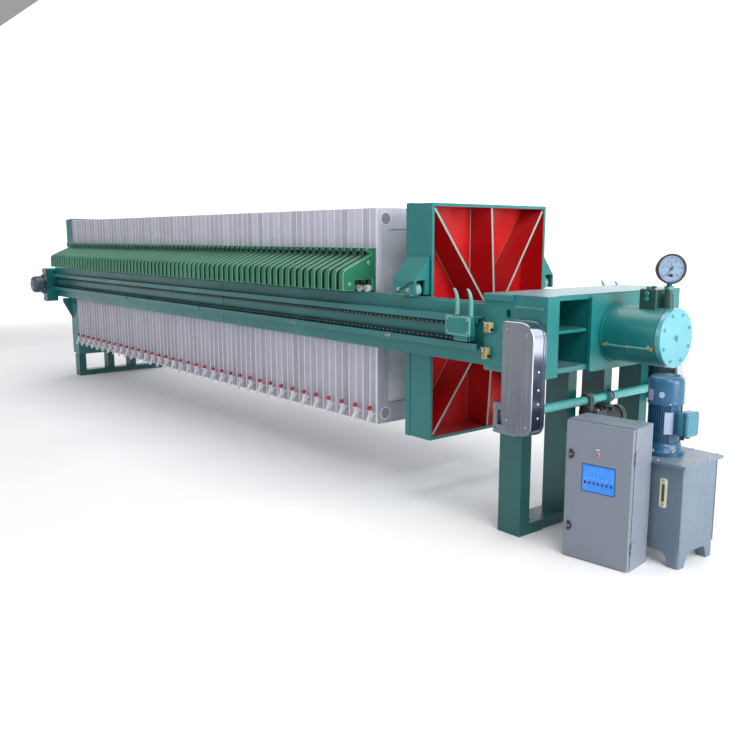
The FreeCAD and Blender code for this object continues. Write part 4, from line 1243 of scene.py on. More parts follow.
# =====================================================================================
#  cylinder seat and cylinder
# =====================================================================================
def seat_details():
    m = Mesh()
    for sy in (-1, 1):
        side = TO_Y if sy > 0 else TO_NY
        # flat strips welded on the cheek: they give its shadow lines
        y0, y1 = sorted((sy * 0.5838, sy * 0.5885))
        for z0, z1, xa, xb in ((1.196, 1.206, 706, 884), (0.868, 0.880, 502, 884)):
            m.add(cbox(px(xa), px(xb), y0, y1, z0, z1, 0.0012), 0, edge=1)
        weld(m, P(703, sy * 585.2, 1208), P(703, sy * 585.2, 1258), 0.0028, 0, 5)
        # rim of the lifting slot
        cx, c0, c1 = px(664), 1.157, 1.173
        v, f = ringwall(oblong(cx, c0, c1, 0.0165, 14), oblong(cx, c0, c1, 0.0142, 14), 0, 0.0014)
        m.add(([(a, sy * (0.5840 + c), b) for a, b, c in v], f), 0)
        # heel welds of the cheek on the leg and a weld up the post
        weld(m, P(608, sy * 560.5, 858.5), P(752, sy * 560.5, 858.5), 0.0045, 0, 5)
        weld(m, P(885.5, sy * 585, 866), P(885.5, sy * 585, 1256), 0.0026, 0, 5)
        # mid shelf weld and inner web welds
        weld(m, P(560, sy * 539, 1069), P(876, sy * 539, 1069), 0.003, 0, 5)
        weld(m, P(560, sy * 217, 1069), P(876, sy * 217, 1069), 0.003, 0, 5)
    m.make("seat_details", [M["green"], M["green_e"], M["bolt"]], slot="frame_green")
    # cylinder: seam, oil pipe with clips, end cap screws and eye bolt
    c = Mesh()
    ang = math.radians(198)
    r = CY_R
    def on(x, a, k=0.0):
        return (px(x), (r + k) * math.cos(a), AXZ + (r + k) * math.sin(a))
    c.add(tube(bend([on(926, ang, 0.0062), on(1214, ang, 0.0062)], 0.01), 0.0062, 12), 0)
    for x in (950, 1070, 1190):
        q = [on(x, ang + d, 0.0) for d in (-0.10, -0.05, 0.0, 0.05, 0.10)]
        hh = (0.001, 0.004, 0.0135, 0.004, 0.001)
        pts = [Vector(on(x, ang + d, h)) for d, h in zip((-0.10, -0.05, 0.0, 0.05, 0.10), hh)]
        v, f = [], []
        for p_ in pts:
            v += [(p_.x - 0.006, p_.y, p_.z), (p_.x + 0.006, p_.y, p_.z)]
        base = [Vector(on(x, ang + d, h - 0.0016)) for d, h in zip((-0.10, -0.05, 0.0, 0.05, 0.10), hh)]
        for p_ in base:
            v += [(p_.x - 0.006, p_.y, p_.z), (p_.x + 0.006, p_.y, p_.z)]
        n = len(pts)
        for k in range(n - 1):
            f.append((2 * k, 2 * k + 1, 2 * k + 3, 2 * k + 2))
            f.append((2 * n + 2 * k, 2 * n + 2 * k + 2, 2 * n + 2 * k + 3, 2 * n + 2 * k + 1))
            f.append((2 * k, 2 * k + 2, 2 * n + 2 * k + 2, 2 * n + 2 * k))
            f.append((2 * k + 1, 2 * n + 2 * k + 1, 2 * n + 2 * k + 3, 2 * k + 3))
        f.append((0, 2 * n, 2 * n + 1, 1))
        f.append((2 * n - 2, 2 * n - 1, 4 * n - 1, 4 * n - 2))
        c.add((v, f), 1)
    # fittings at both ends of the pipe
    for x, s in ((930, -1), (1210, 1)):
        MM = T(*on(x, ang, 0.0062)) @ TO_X
        c.add(hexa(0.019, -0.008, 0.008, 0.001), 2, MM)
    # groove ring between body and cap
    c.add(lathe([(r - 0.003, -0.0015), (r + 0.0012, -0.0015), (r + 0.0012, 0.0015), (r - 0.003, 0.0015)], 64), 3, T(*P(1222, 0, AZ)) @ TO_X)
    c.make("cylinder_details", [M["shaft"], M["steel"], M["brass"], M["deep"]], slot="frame_green")
    e = Mesh()
    for k in range(8):
        a = 2 * math.pi * (k + 0.5) / 8
        e.add(lathe([(0, 0), (0.0085, 0), (0.0085, 0.0040), (0.0075, 0.0050), (0.0045, 0.0050), (0.0045, 0.0020), (0, 0.0020)], 16), 0, T(*P(1254, 122 * math.cos(a), AZ + 122 * math.sin(a))) @ TO_X)
    e.add(lathe([(0, 0), (0.016, 0), (0.016, 0.004), (0.0135, 0.006), (0.0135, 0.012), (0, 0.012)], 6), 0, T(*P(1253, 0, AZ)) @ TO_X)
    e.make("cap_screws", [M["cap"]], slot="frame_green")


CY_R = (B("cylinder_end_cap")[3] - B("cylinder_end_cap")[2]) / 2
seat_details()


# =====================================================================================
#  pressure gauge
# =====================================================================================
def text_mesh(s, size, depth=0.0004):
    cu = bpy.data.curves.new("figure", "FONT")
    cu.body = s
    cu.size = size
    cu.extrude = depth
    cu.align_x = "CENTER"
    cu.align_y = "CENTER"
    cu.resolution_u = 3
    ob = bpy.data.objects.new("figure", cu)
    bpy.context.scene.collection.objects.link(ob)
    dg = bpy.context.evaluated_depsgraph_get()
    me = bpy.data.meshes.new_from_object(ob.evaluated_get(dg))
    v = [tuple(p.co) for p in me.vertices]
    f = [tuple(p.vertices) for p in me.polygons]
    bpy.data.objects.remove(ob)
    bpy.data.curves.remove(cu)
    bpy.data.meshes.remove(me)
    return v, f


def gauge():
    """dial gauge: pressed case, rolled bezel, dial with ticks and figures, pointer, contact box in the lower half"""
    m = Mesh()
    # local frame: +Z out of the dial, +Y up
    n = 64
    m.add(lathe([(0, -0.022), (0.060, -0.022), (0.066, -0.020), (0.0705, -0.016), (0.0715, 0.012), (0.0755, 0.014), (0.0757, 0.021),
                 (0.0740, 0.0235), (0.0690, 0.0238), (0.0665, 0.0215), (0.0660, 0.0120), (0, 0.0120)], n), 0)
    m.add(lathe([(0, 0.0121), (0.0655, 0.0121), (0.0655, 0.0127), (0, 0.0127)], n), 1)
    for k in range(51):
        a = math.radians(225 - 270 * k / 50)
        big = k % 10 == 0
        mid = k % 5 == 0
        r0, r1, w = (0.0480, 0.0570, 0.0011) if big else ((0.0510, 0.0570, 0.0008) if mid else (0.0535, 0.0570, 0.00045))
        m.add(cbox(r0, r1, -w, w, 0.0126, 0.01305, 0.0001), 2, RZ(math.degrees(a)))
    for k in range(6):
        a = math.radians(225 - 270 * k / 5)
        t = text_mesh(str(10 * k), 0.0095)
        m.add(t, 2, T(0.0400 * math.cos(a), 0.0400 * math.sin(a), 0.0129))
    # figures' ring band, contact hands and adjusting box
    m.add(cbox(-0.0085, 0.0085, -0.0400, -0.0250, 0.0126, 0.0150, 0.0008), 2)
    m.add(cbox(-0.0180, -0.0110, -0.0350, -0.0280, 0.0126, 0.0140, 0.0006), 2)
    a = math.radians(250)
    v, f = slab([(-0.016, -0.0026), (0.0440, -0.0006), (0.0440, 0.0006), (-0.016, 0.0020)], 0.0158, 0.0168, 0.0002)[:2]
    m.add((v, f), 2, RZ(232))
    v, f = slab([(0.0, -0.0010), (0.0360, -0.0006), (0.0360, 0.0006), (0.0, 0.0010)], 0.0145, 0.0152, 0.0002)[:2]
    m.add((v, f), 3, RZ(96))
    m.add((v, f), 4, RZ(150))
    m.add(drum(0.0062, 0.0126, 0.0185, 0.0008, 24), 2)
    m.add(drum(0.0028, 0.0180, 0.0200, 0.0006, 16), 5)
    # back boss and stem into the fitting
    m.add(lathe([(0, -0.0760), (0.011, -0.0760), (0.011, -0.064), (0, -0.064)], 24), 5, RX(90) @ T(0, 0, 0) @ RX(180))
    g = Mesh()
    MM = T(px(1196), 0.001, 1.392) @ RZ(52) @ RX(90)
    g.add((m.v, m.f), 0, MM)
    g.m = list(m.m)
    g.make("gauge_body", [M["blackp"], M["dial"], M["black"], M["red_lamp"], M["film"], M["brass"]], replaces=["pressure_gauge"], slot="gauge_black", smooth=36)
    q = Mesh()
    q.add(lathe([(0, 0.0205), (0.0655, 0.0205), (0.0655, 0.0225), (0, 0.0225)], n), 0, MM)
    q.make("gauge_window", [M["glass"]], slot="gauge_black")


gauge()


def valve_details():
    m = Mesh()
    z = B("valve_block")[5]
    for x in (1080, 1151):
        for y in (-46, 46):
            m.add(lathe([(0, 0), (0.0065, 0), (0.0065, 0.0052), (0.0056, 0.006), (0.0034, 0.006), (0.0034, 0.003), (0, 0.003)], 14), 0, T(*P(x, y, AZ + 238)))
    for y in (-22, 22):
        m.add(hexa(0.026, 0, 0.014, 0.002), 1, T(*P(1098, y, AZ + 238)))
        m.add(hexa(0.022, 0.0, 0.012, 0.0015), 1, T(*P(1115, -60, AZ + 205 + y * 0.6)) @ TO_NY)
    m.add(hexa(0.046, 0, 0.020, 0.003), 1, T(*P(1196, 0, AZ + 238)))
    m.add(hexa(0.030, 0, 0.014, 0.002), 2, T(*P(1196, 0, AZ + 246)))
    m.make("valve_fittings", [M["bolt"], M["green"], M["brass"]], slot="dark_green")


valve_details()


# =====================================================================================
#  chain cases of the shifter drive
# =====================================================================================
def case_details():
    m = Mesh()
    x0, x1, y0, y1, z0, z1 = CC[0], CC[1], -0.684, -0.584, CC[4], CC[5]
    # joint between cover and back half: a thin standing lip all round, in two tones
    def outline(k):
        pts = []
        for cx, cz, r, a0 in ((x1 - 0.080, z1 - 0.080, 0.080, 0), (x0 + 0.020, z1 - 0.020, 0.020, 90), (x0 + 0.084, z0 + 0.084, 0.084, 180), (x1 - 0.056, z0 + 0.056, 0.056, 270)):
            for i in range(9):
                a = math.radians(a0 + 90 * i / 8)
                pts.append((cx + (r + k) * math.cos(a), cz + (r + k) * math.sin(a)))
        return pts
    v, f = ringwall(outline(0.0035), outline(-0.0010), 0.0, 0.0016)
    m.add(([(a, -0.6040 + c, b) for a, b, c in v], f), 0)
    v, f = ringwall(outline(0.0028), outline(-0.0010), 0.0, 0.0016)
    m.add(([(a, -0.5900 + c, b) for a, b, c in v], f), 0)
    # screws through the rim, along the right side and the top
    for z in (0.672, 0.742, 0.812, 0.900, 0.985):
        m.add(lathe([(0, 0), (0.0075, 0), (0.0072, 0.0016), (0.0050, 0.0030), (0, 0.0034)], 14), 1, T(x1 + 0.0001, -0.634, z) @ TO_X)
    for z in (0.700, 0.860, 1.020):
        m.add(lathe([(0, 0), (0.0075, 0), (0.0072, 0.0016), (0.0050, 0.0030), (0, 0.0034)], 14), 1, T(x0 - 0.0001, -0.634, z) @ TO_NX)
    for x, z in ((x0 + 0.034, z1 - 0.036), (x1 - 0.040, z1 - 0.060), (x0 + 0.044, z0 + 0.066), (x1 - 0.034, z0 + 0.050)):
        m.add(lathe([(0, 0), (0.0060, 0), (0.0058, 0.0012), (0.0040, 0.0022), (0, 0.0025)], 14), 1, T(x, y0 - 0.0001, z) @ TO_NY)
    n = Mesh().merge(m)
    n.merge(m.mirrored())
    n.make("case_trim", [M["inox"], M["bolt"]], slot="case_steel")
    # bracket: folded edge, fixing bolts
    b = Mesh()
    for sy in (-1, 1):
        side = TO_Y if sy > 0 else TO_NY
        for x, z in ((588, 0.560), (588, 0.676)):
            bolt(b, T(px(x), sy * 0.584, z) @ side, 0.009, 1)
        v, f = ringwall(rrect(px(600), px(644), 0.580, 0.666, 0.004, 2), rrect(px(604), px(640), 0.584, 0.662, 0.003, 2), 0, 0.0016)
        b.add(([(a, sy * (0.584 + c), d) for a, d, c in v], f), 0)
    b.make("bracket_details", [M["cab"], M["bolt"]], slot="case_steel")


case_details()


# =====================================================================================
#  cross shaft and its gear motor
# =====================================================================================
def drive_details():
    z = (SH[4] + SH[5]) / 2
    xs = px(812)
    m = Mesh()
    # black set collar, couplings and their screws turn with the shaft
    m.add(lathe([(0.0244, 0.082), (0.0300, 0.082), (0.0330, 0.086), (0.0330, 0.100), (0.0300, 0.104), (0.0244, 0.104)], 36), 0, T(xs, 0, z) @ TO_Y)
    m.add(lathe([(0.0398, 0.047), (0.0412, 0.049), (0.0412, 0.063), (0.0398, 0.065)], 40), 0, T(xs, 0, z) @ TO_Y)
    for a in (0, 120, 240):
        m.add(lathe([(0, 0.0395), (0.0042, 0.0395), (0.0042, 0.0450), (0.0022, 0.0450), (0.0022, 0.0430), (0, 0.0430)], 10), 1, T(xs, 0.056, z) @ RY(a))
    m.make("shaft_collars", [M["black"], M["bolt"], M["shaft"]], body="shifter_shaft", slot="shaft_green")
    g = Mesh()
    # gearbox cover screws, plugs, breather
    for dx in (-46, 46):
        for zz in (0.522, 0.610):
            bolt(g, T(px(812 + dx), -0.092, zz) @ TO_NY, 0.006, 1)
    for dx, zz in ((-40, 0.6245), (34, 0.6245)):
        g.add(hexa(0.014, 0, 0.007, 0.001), 1, T(px(812 + dx), -0.050, zz - 0.0008))
    g.add(lathe([(0, 0), (0.010, 0), (0.012, 0.004), (0.012, 0.013), (0.008, 0.018), (0, 0.019)], 18), 2, T(px(850), -0.030, 0.6238))
    # guard rim and its screws
    v, f = ringwall(oblong(xs, 0.566, 0.682, 0.0342, 20), oblong(xs, 0.566, 0.682, 0.0290, 20), 0, 0.0016)
    g.add(([(a, -0.1220 - c, b) for a, b, c in v], f), 0)
    for zz in (0.600, 0.648):
        for s in (-1, 1):
            g.add(lathe([(0, 0), (0.0045, 0), (0.0040, 0.0016), (0, 0.0020)], 12), 1, T(xs + s * 0.024, -0.1218, zz) @ TO_NY)
    # motor: cooling fins, fan cover, terminal box cover
    zc = 0.566
    for k in range(28):
        a = 2 * math.pi * k / 28
        if abs(math.degrees(a) - 90) < 34:
            continue
        MM = T(xs, 0, zc) @ RY(-math.degrees(a))
        g.add(cbox(0.0485, 0.0580, 0.012, 0.148, -0.0011, 0.0011, 0.0004), 0, MM)
    g.add(lathe([(0.0500, 0.150), (0.0585, 0.150), (0.0585, 0.186), (0.0540, 0.1905), (0.0400, 0.1920), (0, 0.1925)], 40), 0, T(xs, 0, zc) @ TO_Y)
    g.add(lathe([(0.050, -0.006), (0.0600, -0.004), (0.0600, 0.006), (0.050, 0.010)], 40), 0, T(xs, 0, zc) @ TO_Y)
    g.add(cbox(xs - 0.037, xs + 0.037, 0.017, 0.095, 0.6325, 0.6380, 0.002), 0)
    for dx in (-0.030, 0.030):
        for y in (0.024, 0.088):
            g.add(lathe([(0, 0), (0.0032, 0), (0.0030, 0.0014), (0, 0.0018)], 10), 1, T(xs + dx, y, 0.6376))
    g.add(lathe([(0, 0), (0.011, 0), (0.011, 0.006), (0.0085, 0.008), (0.0085, 0.020), (0, 0.020)], 6), 2, T(xs + 0.0335, 0.056, 0.622) @ TO_X)
    # foot bolts on the shelf
    for dx in (-44, 52):
        for y in (-0.070, 0.160):
            bolt(g, T(px(812 + dx), y, 0.508), 0.008, 1)
    g.make("gear_motor_details", [M["dark"], M["bolt"], M["black"]], slot="dark_motor")


drive_details()


# =====================================================================================
#  control cabinet
# =====================================================================================
CAB_O = (px(1042), -0.575)
CAB_YAW = 7.5
CABM = T(CAB_O[0], CAB_O[1], 0) @ RZ(CAB_YAW)      # local x along the door, y into the cabinet, from the door's lower left corner


def cabinet():
    n = Mesh()
    FR = CABM @ RX(90)                              # local +Z out of the door, X to the right, Y up
    # two quarter turn locks: D shaped escutcheon with a wing
    for z in (520, 161):
        o = [(-0.0105, -0.024), (-0.0105, 0.024)]
        d = []
        for k in range(13):
            a = math.radians(90 - 180 * k / 12)
            d.append((-0.0095 + 0.0215 * math.cos(a), 0.0245 * math.sin(a)))
        v, f, t = slab([(-0.0105, -0.0245)] + [(-0.0105, 0.0245)] + d, 0.0002, 0.0085, 0.0022)
        n.add((v, f, t), 0, FR @ T(0.036, z / 1000, 0))
        n.add(cbox(-0.0018, 0.0018, -0.0130, 0.0130, 0.0080, 0.0104, 0.0006), 0, FR @ T(0.0345, z / 1000, 0))
        n.add(lathe([(0, 0.008), (0.0052, 0.008), (0.0048, 0.0100), (0, 0.0104)], 16), 1, FR @ T(0.0345, z / 1000 - 0.0, 0))
    # lamp with its ring
    n.add(lathe([(0.0080, 0.0), (0.0118, 0.0), (0.0116, 0.0026), (0.0098, 0.0040), (0.0080, 0.0040)], 28), 1, FR @ T(0.171, 0.538, 0))
    n.add(lathe([(0, 0.0), (0.0082, 0.0), (0.0080, 0.0050), (0.0060, 0.0076), (0.0030, 0.0088), (0, 0.0090)], 24), 2, FR @ T(0.171, 0.538, 0))
    n.add(slab(rrect(-0.010, 0.010, -0.0022, 0.0022, 0.0008, 2), 0.0, 0.0009, 0.0002), 3, FR @ T(0.171, 0.561, 0))
    # key panel: dark frame, blue film, a row of oval keys, small windows above them
    n.add(slab(rrect(0.092, 0.266, 0.350, 0.486, 0.007, 4), -0.0002, 0.0016, 0.0006), 4, FR)
    n.add(slab(rrect(0.0970, 0.2610, 0.3550, 0.4810, 0.004, 4), 0.0010, 0.0024, 0.0005), 5, FR)
    for k in range(7):
        x = 0.1125 + 0.0222 * k
        o = [(0.0062 * math.cos(a), 0.0085 * math.sin(a)) for a in [2 * math.pi * i / 20 for i in range(20)]]
        n.add(slab(o, 0.0020, 0.0040, 0.0008), 4 if k else 0, FR @ T(x, 0.3960, 0))
        n.add(slab(rrect(x - 0.0062, x + 0.0062, 0.4160, 0.4215, 0.001, 2), 0.0020, 0.0029, 0.0003), 6, FR)
        n.add(slab(rrect(x - 0.0042, x + 0.0042, 0.4360, 0.4390, 0.0008, 2), 0.0020, 0.0028, 0.0003), 6, FR)
    for z in (0.452, 0.466):
        for k in range(9):
            x = 0.112 + 0.0165 * k
            n.add(slab(rrect(x - 0.0052, x + 0.0052, z - 0.0014, z + 0.0014, 0.0006, 2), 0.0020, 0.0027, 0.0003), 6, FR)
    n.make("door_fittings", [M["black"], M["steel"], M["red_lamp"], M["label"], M["film_d"], M["film"], M["film_l"], M["label"]], body="door", slot="cabinet_grey")
    # outline of a ring on the door's inner side, worked out but not added to any piece
    q = Mesh()
    g = 0.0205
    v, f = ringwall(rrect(0.010, 0.336, 0.014, 0.675, 0.006, 3), rrect(0.018, 0.328, 0.022, 0.667, 0.004, 3), 0.0, 0.0022)
    # hinge leaves, knuckle pins
    h = Mesh()
    for z in (110, 546):
        h.add(cbox(0.3475, 0.3500, 0.030, 0.058, z / 1000 - 0.028, z / 1000 + 0.028, 0.0008), 0, CABM)
        for dz in (-0.018, 0.018):
            h.add(lathe([(0, 0), (0.0036, 0), (0.0030, 0.0010), (0, 0.0012)], 10), 1, CABM @ T(0.3498, 0.044, z / 1000 + dz) @ TO_X)
    # side sheet: cable gland row on the far side near the base
    for k in range(3):
        h.add(lathe([(0, 0), (0.0150, 0), (0.0150, 0.006), (0.0125, 0.009), (0.0125, 0.016), (0.009, 0.018), (0, 0.018)], 20), 2, CABM @ T(0.080 + 0.070 * k, 0.1948, 0.060) @ TO_Y)
    # lid lifting lugs' plugs on top
    for x in (0.040, 0.306):
        for y in (0.050, 0.150):
            h.add(lathe([(0, 0), (0.0080, 0), (0.0074, 0.0022), (0, 0.0030)], 16), 0, CABM @ T(x, y, 0.6858))
    h.make("cabinet_details", [M["cab"], M["bolt"], M["black"]], slot="cabinet_grey")


cabinet()


# =====================================================================================
#  oil tank and pump motor
# =====================================================================================
def tank_details():
    m = Mesh()
    z = LID[5]
    lx0, lx1, ly0, ly1 = LID[0], LID[1], LID[2], LID[3]
    # cover screws along the lid's rim
    for x in (lx0 + 0.022, lx0 + 0.150, lx1 - 0.150, lx1 - 0.022):
        for y in (ly0 + 0.014, ly1 - 0.014):
            bolt(m, T(x, y, z), 0.0062, 1)
    for y in (ly0 + 0.115, ly1 - 0.115):
        for x in (lx0 + 0.014, lx1 - 0.014):
            bolt(m, T(x, y, z), 0.0062, 1)
    # filler with breather cap
    m.add(lathe([(0, 0), (0.030, 0), (0.030, 0.004), (0.024, 0.006), (0.024, 0.026), (0, 0.026)], 32), 2, T(px(1175), -0.080, z))
    m.add(lathe([(0, 0.024), (0.028, 0.024), (0.030, 0.028), (0.030, 0.046), (0.026, 0.052), (0, 0.054)], 32), 3, T(px(1175), -0.080, z))
    # pressure and return ports beside the motor
    for x, y in ((1150, -150), (1150, -200)):
        m.add(lathe([(0, 0), (0.020, 0), (0.020, 0.004), (0.013, 0.006), (0.013, 0.020), (0, 0.020)], 24), 3, T(px(x), y / 1000, z))
        m.add(hexa(0.030, 0.006, 0.018, 0.0015), 1, T(px(x), y / 1000, z))
    # oil level gauge on the near side: cream plate, glass, two screws
    xa, xb = px(1399), px(1437)
    y = TK[2]
    m.add(xz(rrect(xa, xb, 0.284, 0.427, 0.010, 4), y - 0.0040, y + 0.0002, 0.001), 4)
    m.add(xz(rrect(xa + 0.012, xb - 0.012, 0.312, 0.399, 0.006, 4), y - 0.0062, y - 0.0030, 0.0008), 3)
    m.add(xz(rrect(xa + 0.015, xb - 0.015, 0.316, 0.395, 0.004, 4), y - 0.0068, y - 0.0055, 0.0004), 5)
    for zz in (0.297, 0.414):
        m.add(lathe([(0, 0), (0.0075, 0), (0.0075, 0.004), (0.0055, 0.006), (0, 0.006)], 6), 1, T((xa + xb) / 2, y - 0.0038, zz) @ TO_NY)
    # weld seams along the four corners under the lid, drain plug
    for x in (TK[0] + 0.002, TK[1] - 0.002):
        for yy in (TK[2] + 0.002, TK[3] - 0.002):
            weld(m, (x, yy, 0.080), (x, yy, 0.488), 0.0030, 0, 5)
    m.add(hexa(0.026, 0, 0.012, 0.0015), 1, T(px(1180), TK[2], 0.100) @ TO_NY)
    m.add(lathe([(0, 0), (0.018, 0), (0.018, 0.003), (0, 0.003)], 24), 0, T(px(1180), TK[2], 0.100) @ TO_NY)
    m.make("tank_details", [M["tank"], M["bolt"], M["steel"], M["blackp"], M["cream"], M["sight"]], slot="tank_grey")


M["cream"] = plastic("cream_plate", lin(216, 212, 180), 0.4)
M["sight"] = plastic("oil_window", lin(70, 74, 60), 0.12, 0.05, 0.0, 0.5)
tank_details()


def motor():
    """flange mounted motor standing on the tank: lantern, finned body, fan cover, terminal box"""
    cx, cy, z0 = px(1316), -0.170, LID[5]
    m = Mesh()
    C = T(cx, cy, z0)
    # flange with a bolt circle, cone
    m.add(lathe([(0, 0), (0.0965, 0), (0.0980, 0.0015), (0.0980, 0.0190), (0.0960, 0.0215), (0.0930, 0.0220), (0.0900, 0.026), (0.0840, 0.046), (0.0795, 0.056), (0.0760, 0.060), (0, 0.060)], 64), 0, C)
    for k in range(6):
        a = math.radians(30 + 60 * k)
        bolt(m, C @ T(0.0880 * math.cos(a), 0.0880 * math.sin(a), 0.0225), 0.0085, 2)
    # end shield and body core
    m.add(lathe([(0, 0.058), (0.0770, 0.058), (0.0785, 0.059), (0.0785, 0.062), (0.0700, 0.064), (0.0695, 0.244), (0.0785, 0.246), (0.0785, 0.252), (0, 0.252)], 64), 0, C)
    # fins, left out behind the terminal box
    for k in range(44):
        deg = 360 * k / 44
        d = (deg + 180) % 360 - 180
        if abs(d) < 33:
            continue
        MM = C @ RZ(deg)
        m.add(cbox(0.0685, 0.0796, -0.00130, 0.00130, 0.0600, 0.2470, 0.0005), 0, MM)
    # nameplate pad between the fins
    pad = []
    v, f = [], []
    a0, a1, n = math.radians(-60), math.radians(-30), 8
    for r, zz in ((0.0700, 0.108), (0.0806, 0.108), (0.0806, 0.214), (0.0700, 0.214)):
        for k in range(n + 1):
            a = a0 + (a1 - a0) * k / n
            v.append((r * math.cos(a), r * math.sin(a), zz))
    w = n + 1
    for s in range(4):
        for k in range(n):
            f.append((s * w + k, s * w + k + 1, ((s + 1) % 4) * w + k + 1, ((s + 1) % 4) * w + k))
    f.append((0, w, 2 * w, 3 * w))
    f.append((n, 3 * w + n, 2 * w + n, w + n))
    m.add((v, f), 5, C)
    # fan cover: turned rim, domed top, ribs of the air grille
    m.add(lathe([(0.0792, 0.246), (0.0845, 0.246), (0.0858, 0.249), (0.0860, 0.256), (0.0848, 0.262), (0.0850, 0.268), (0.0850, 0.352), (0.0836, 0.362), (0.0800, 0.371), (0.0740, 0.378), (0.0640, 0.3828), (0.040, 0.3838), (0, 0.3838)], 72), 0, C)
    for k in range(36):
        MM = C @ RZ(10 * k)
        m.add(cbox(0.030, 0.062, -0.0017, 0.0017, 0.3805, 0.3842, 0.0005), 1, MM)
    m.add(lathe([(0, 0.3832), (0.024, 0.3832), (0.022, 0.3852), (0, 0.3856)], 36), 0, C)
    for k in range(4):
        a = 45 + 90 * k
        m.add(lathe([(0, 0), (0.0042, 0), (0.0038, 0.0018), (0, 0.0022)], 12), 2, C @ RZ(a) @ T(0.0855, 0, 0.256) @ TO_X)
    # round blank label and a light plate on the fan cover, both following its curve
    def patch(ac, half, zc, hz, rnd, mat):
        v, f = [], []
        rr = 0.0856
        k_ = 20
        if rnd:
            ring = [(half * math.cos(2 * math.pi * i / k_), hz * math.sin(2 * math.pi * i / k_)) for i in range(k_)]
            v.append((0, 0, rr))
            for q_ in (0.0, 0.5, 1.0):
                if q_:
                    v += [(a * q_, b * q_, rr) for a, b in ring]
            v += [(a, b, rr - 0.0012) for a, b in ring]
            for i in range(k_):
                j = (i + 1) % k_
                f += [(0, 1 + i, 1 + j), (1 + i, 1 + k_ + i, 1 + k_ + j, 1 + j), (1 + k_ + i, 1 + 2 * k_ + i, 1 + 2 * k_ + j, 1 + k_ + j)]
            f.append(tuple(1 + 2 * k_ + i for i in range(k_)))
        else:
            s_ = 10
            for layer in (rr, rr - 0.0012):
                for b in (-hz, hz):
                    v += [(-half + 2 * half * i / s_, b, layer) for i in range(s_ + 1)]
            w_ = s_ + 1
            for i in range(s_):
                f += [(i, i + 1, w_ + i + 1, w_ + i), (2 * w_ + i, 3 * w_ + i, 3 * w_ + i + 1, 2 * w_ + i + 1),
                      (i, 2 * w_ + i, 2 * w_ + i + 1, i + 1), (w_ + i, w_ + i + 1, 3 * w_ + i + 1, 3 * w_ + i)]
            f += [(0, w_, 3 * w_, 2 * w_), (s_, 2 * w_ + s_, 3 * w_ + s_, w_ + s_)]
        out = []
        for a, b, r in v:
            t = ac + a / 0.0856
            out.append((r * math.cos(t), r * math.sin(t), zc + b))
        m.add((out, f), mat, C)
    patch(math.radians(-72), 0.0135, 0.299, 0.0155, True, 3)
    patch(math.radians(-115), 0.0200, 0.293, 0.0270, False, 4)
    # terminal box: neck, box, cover with rounded corners, glands
    m.add(cbox(0.056, 0.106, -0.040, 0.040, 0.112, 0.212, 0.004), 0, C)
    m.add(slab(rrect(-0.050, 0.050, 0.106, 0.222, 0.012, 5), 0.0965, 0.1280, 0.0025), 6, C @ Matrix(((0, 0, 1, 0), (1, 0, 0, 0), (0, 1, 0, 0), (0, 0, 0, 1))))
    m.add(slab(rrect(-0.052, 0.052, 0.104, 0.224, 0.013, 5), 0.1290, 0.1510, 0.0060), 6, C @ Matrix(((0, 0, 1, 0), (1, 0, 0, 0), (0, 1, 0, 0), (0, 0, 0, 1))))
    m.add(cbox(0.1275, 0.1300, -0.049, 0.049, 0.107, 0.221, 0.0003), 7, C)
    for y in (-0.042, 0.042):
        for zz in (0.114, 0.214):
            m.add(lathe([(0, 0), (0.0046, 0), (0.0040, 0.0020), (0, 0.0026)], 12), 2, C @ T(0.1494, y, zz) @ TO_X)
    for y in (-0.022, 0.022):
        m.add(lathe([(0, 0), (0.0125, 0), (0.0125, 0.007), (0.0100, 0.010), (0.0100, 0.020), (0, 0.020)], 6), 7, C @ T(0.112, y, 0.1065) @ RX(180))
    # points for a lifting eye, worked out but not added to the motor
    pts = [(0.0850 + 0.0 * k, 0.012 * math.cos(t), 0.236 + 0.014 + 0.012 * math.sin(t)) for k, t in enumerate([math.pi * 2 * i / 20 for i in range(21)])]
    m.make("motor", [M["blue"], M["blue_d"], M["bolt"], M["label3"], M["label2"], M["label3"], M["teal_box"], M["black"]], replaces=["pump_motor"], slot="motor_blue", smooth=34)


M["blue_d"] = paint("motor_enamel_shade", lin(28, 70, 108), rough=0.36)
M["label2"] = plastic("blank_plate_light", lin(150, 160, 190), 0.35)
M["label3"] = plastic("blank_nameplate", lin(160, 176, 204), 0.35)
motor()


# =====================================================================================
#  tail sprocket cases
# =====================================================================================
def tail_details():
    m = Mesh()
    for sy in (-1, 1):
        side = TO_Y if sy > 0 else TO_NY
        C = T(px(-6176), 0, 1.018)
        y = sy * 0.7165
        m.add(lathe([(0.0935, 0.000), (0.1065, 0.000), (0.1065, 0.004), (0.1000, 0.008), (0.0935, 0.008)], 48), 0, T(px(-6176), sy * 0.7125, 1.018) @ side)
        for k in range(6):
            a = math.radians(30 + 60 * k)
            bolt(m, T(px(-6176) + 0.0995 * math.cos(a), sy * 0.7200, 1.018 + 0.0995 * math.sin(a)) @ side, 0.006, 1)
        m.add(lathe([(0, 0), (0.018, 0), (0.016, 0.003), (0, 0.004)], 24), 0, T(px(-6176), sy * 0.8285, 1.018) @ side)
        for dz in (0.850, 1.170):
            for dx in (-6222, -6132):
                bolt(m, T(px(dx), sy * 0.690, dz) @ side, 0.009, 1)
    m.make("tail_details", [M["black"], M["bolt"]], slot="tail_grey")


tail_details()


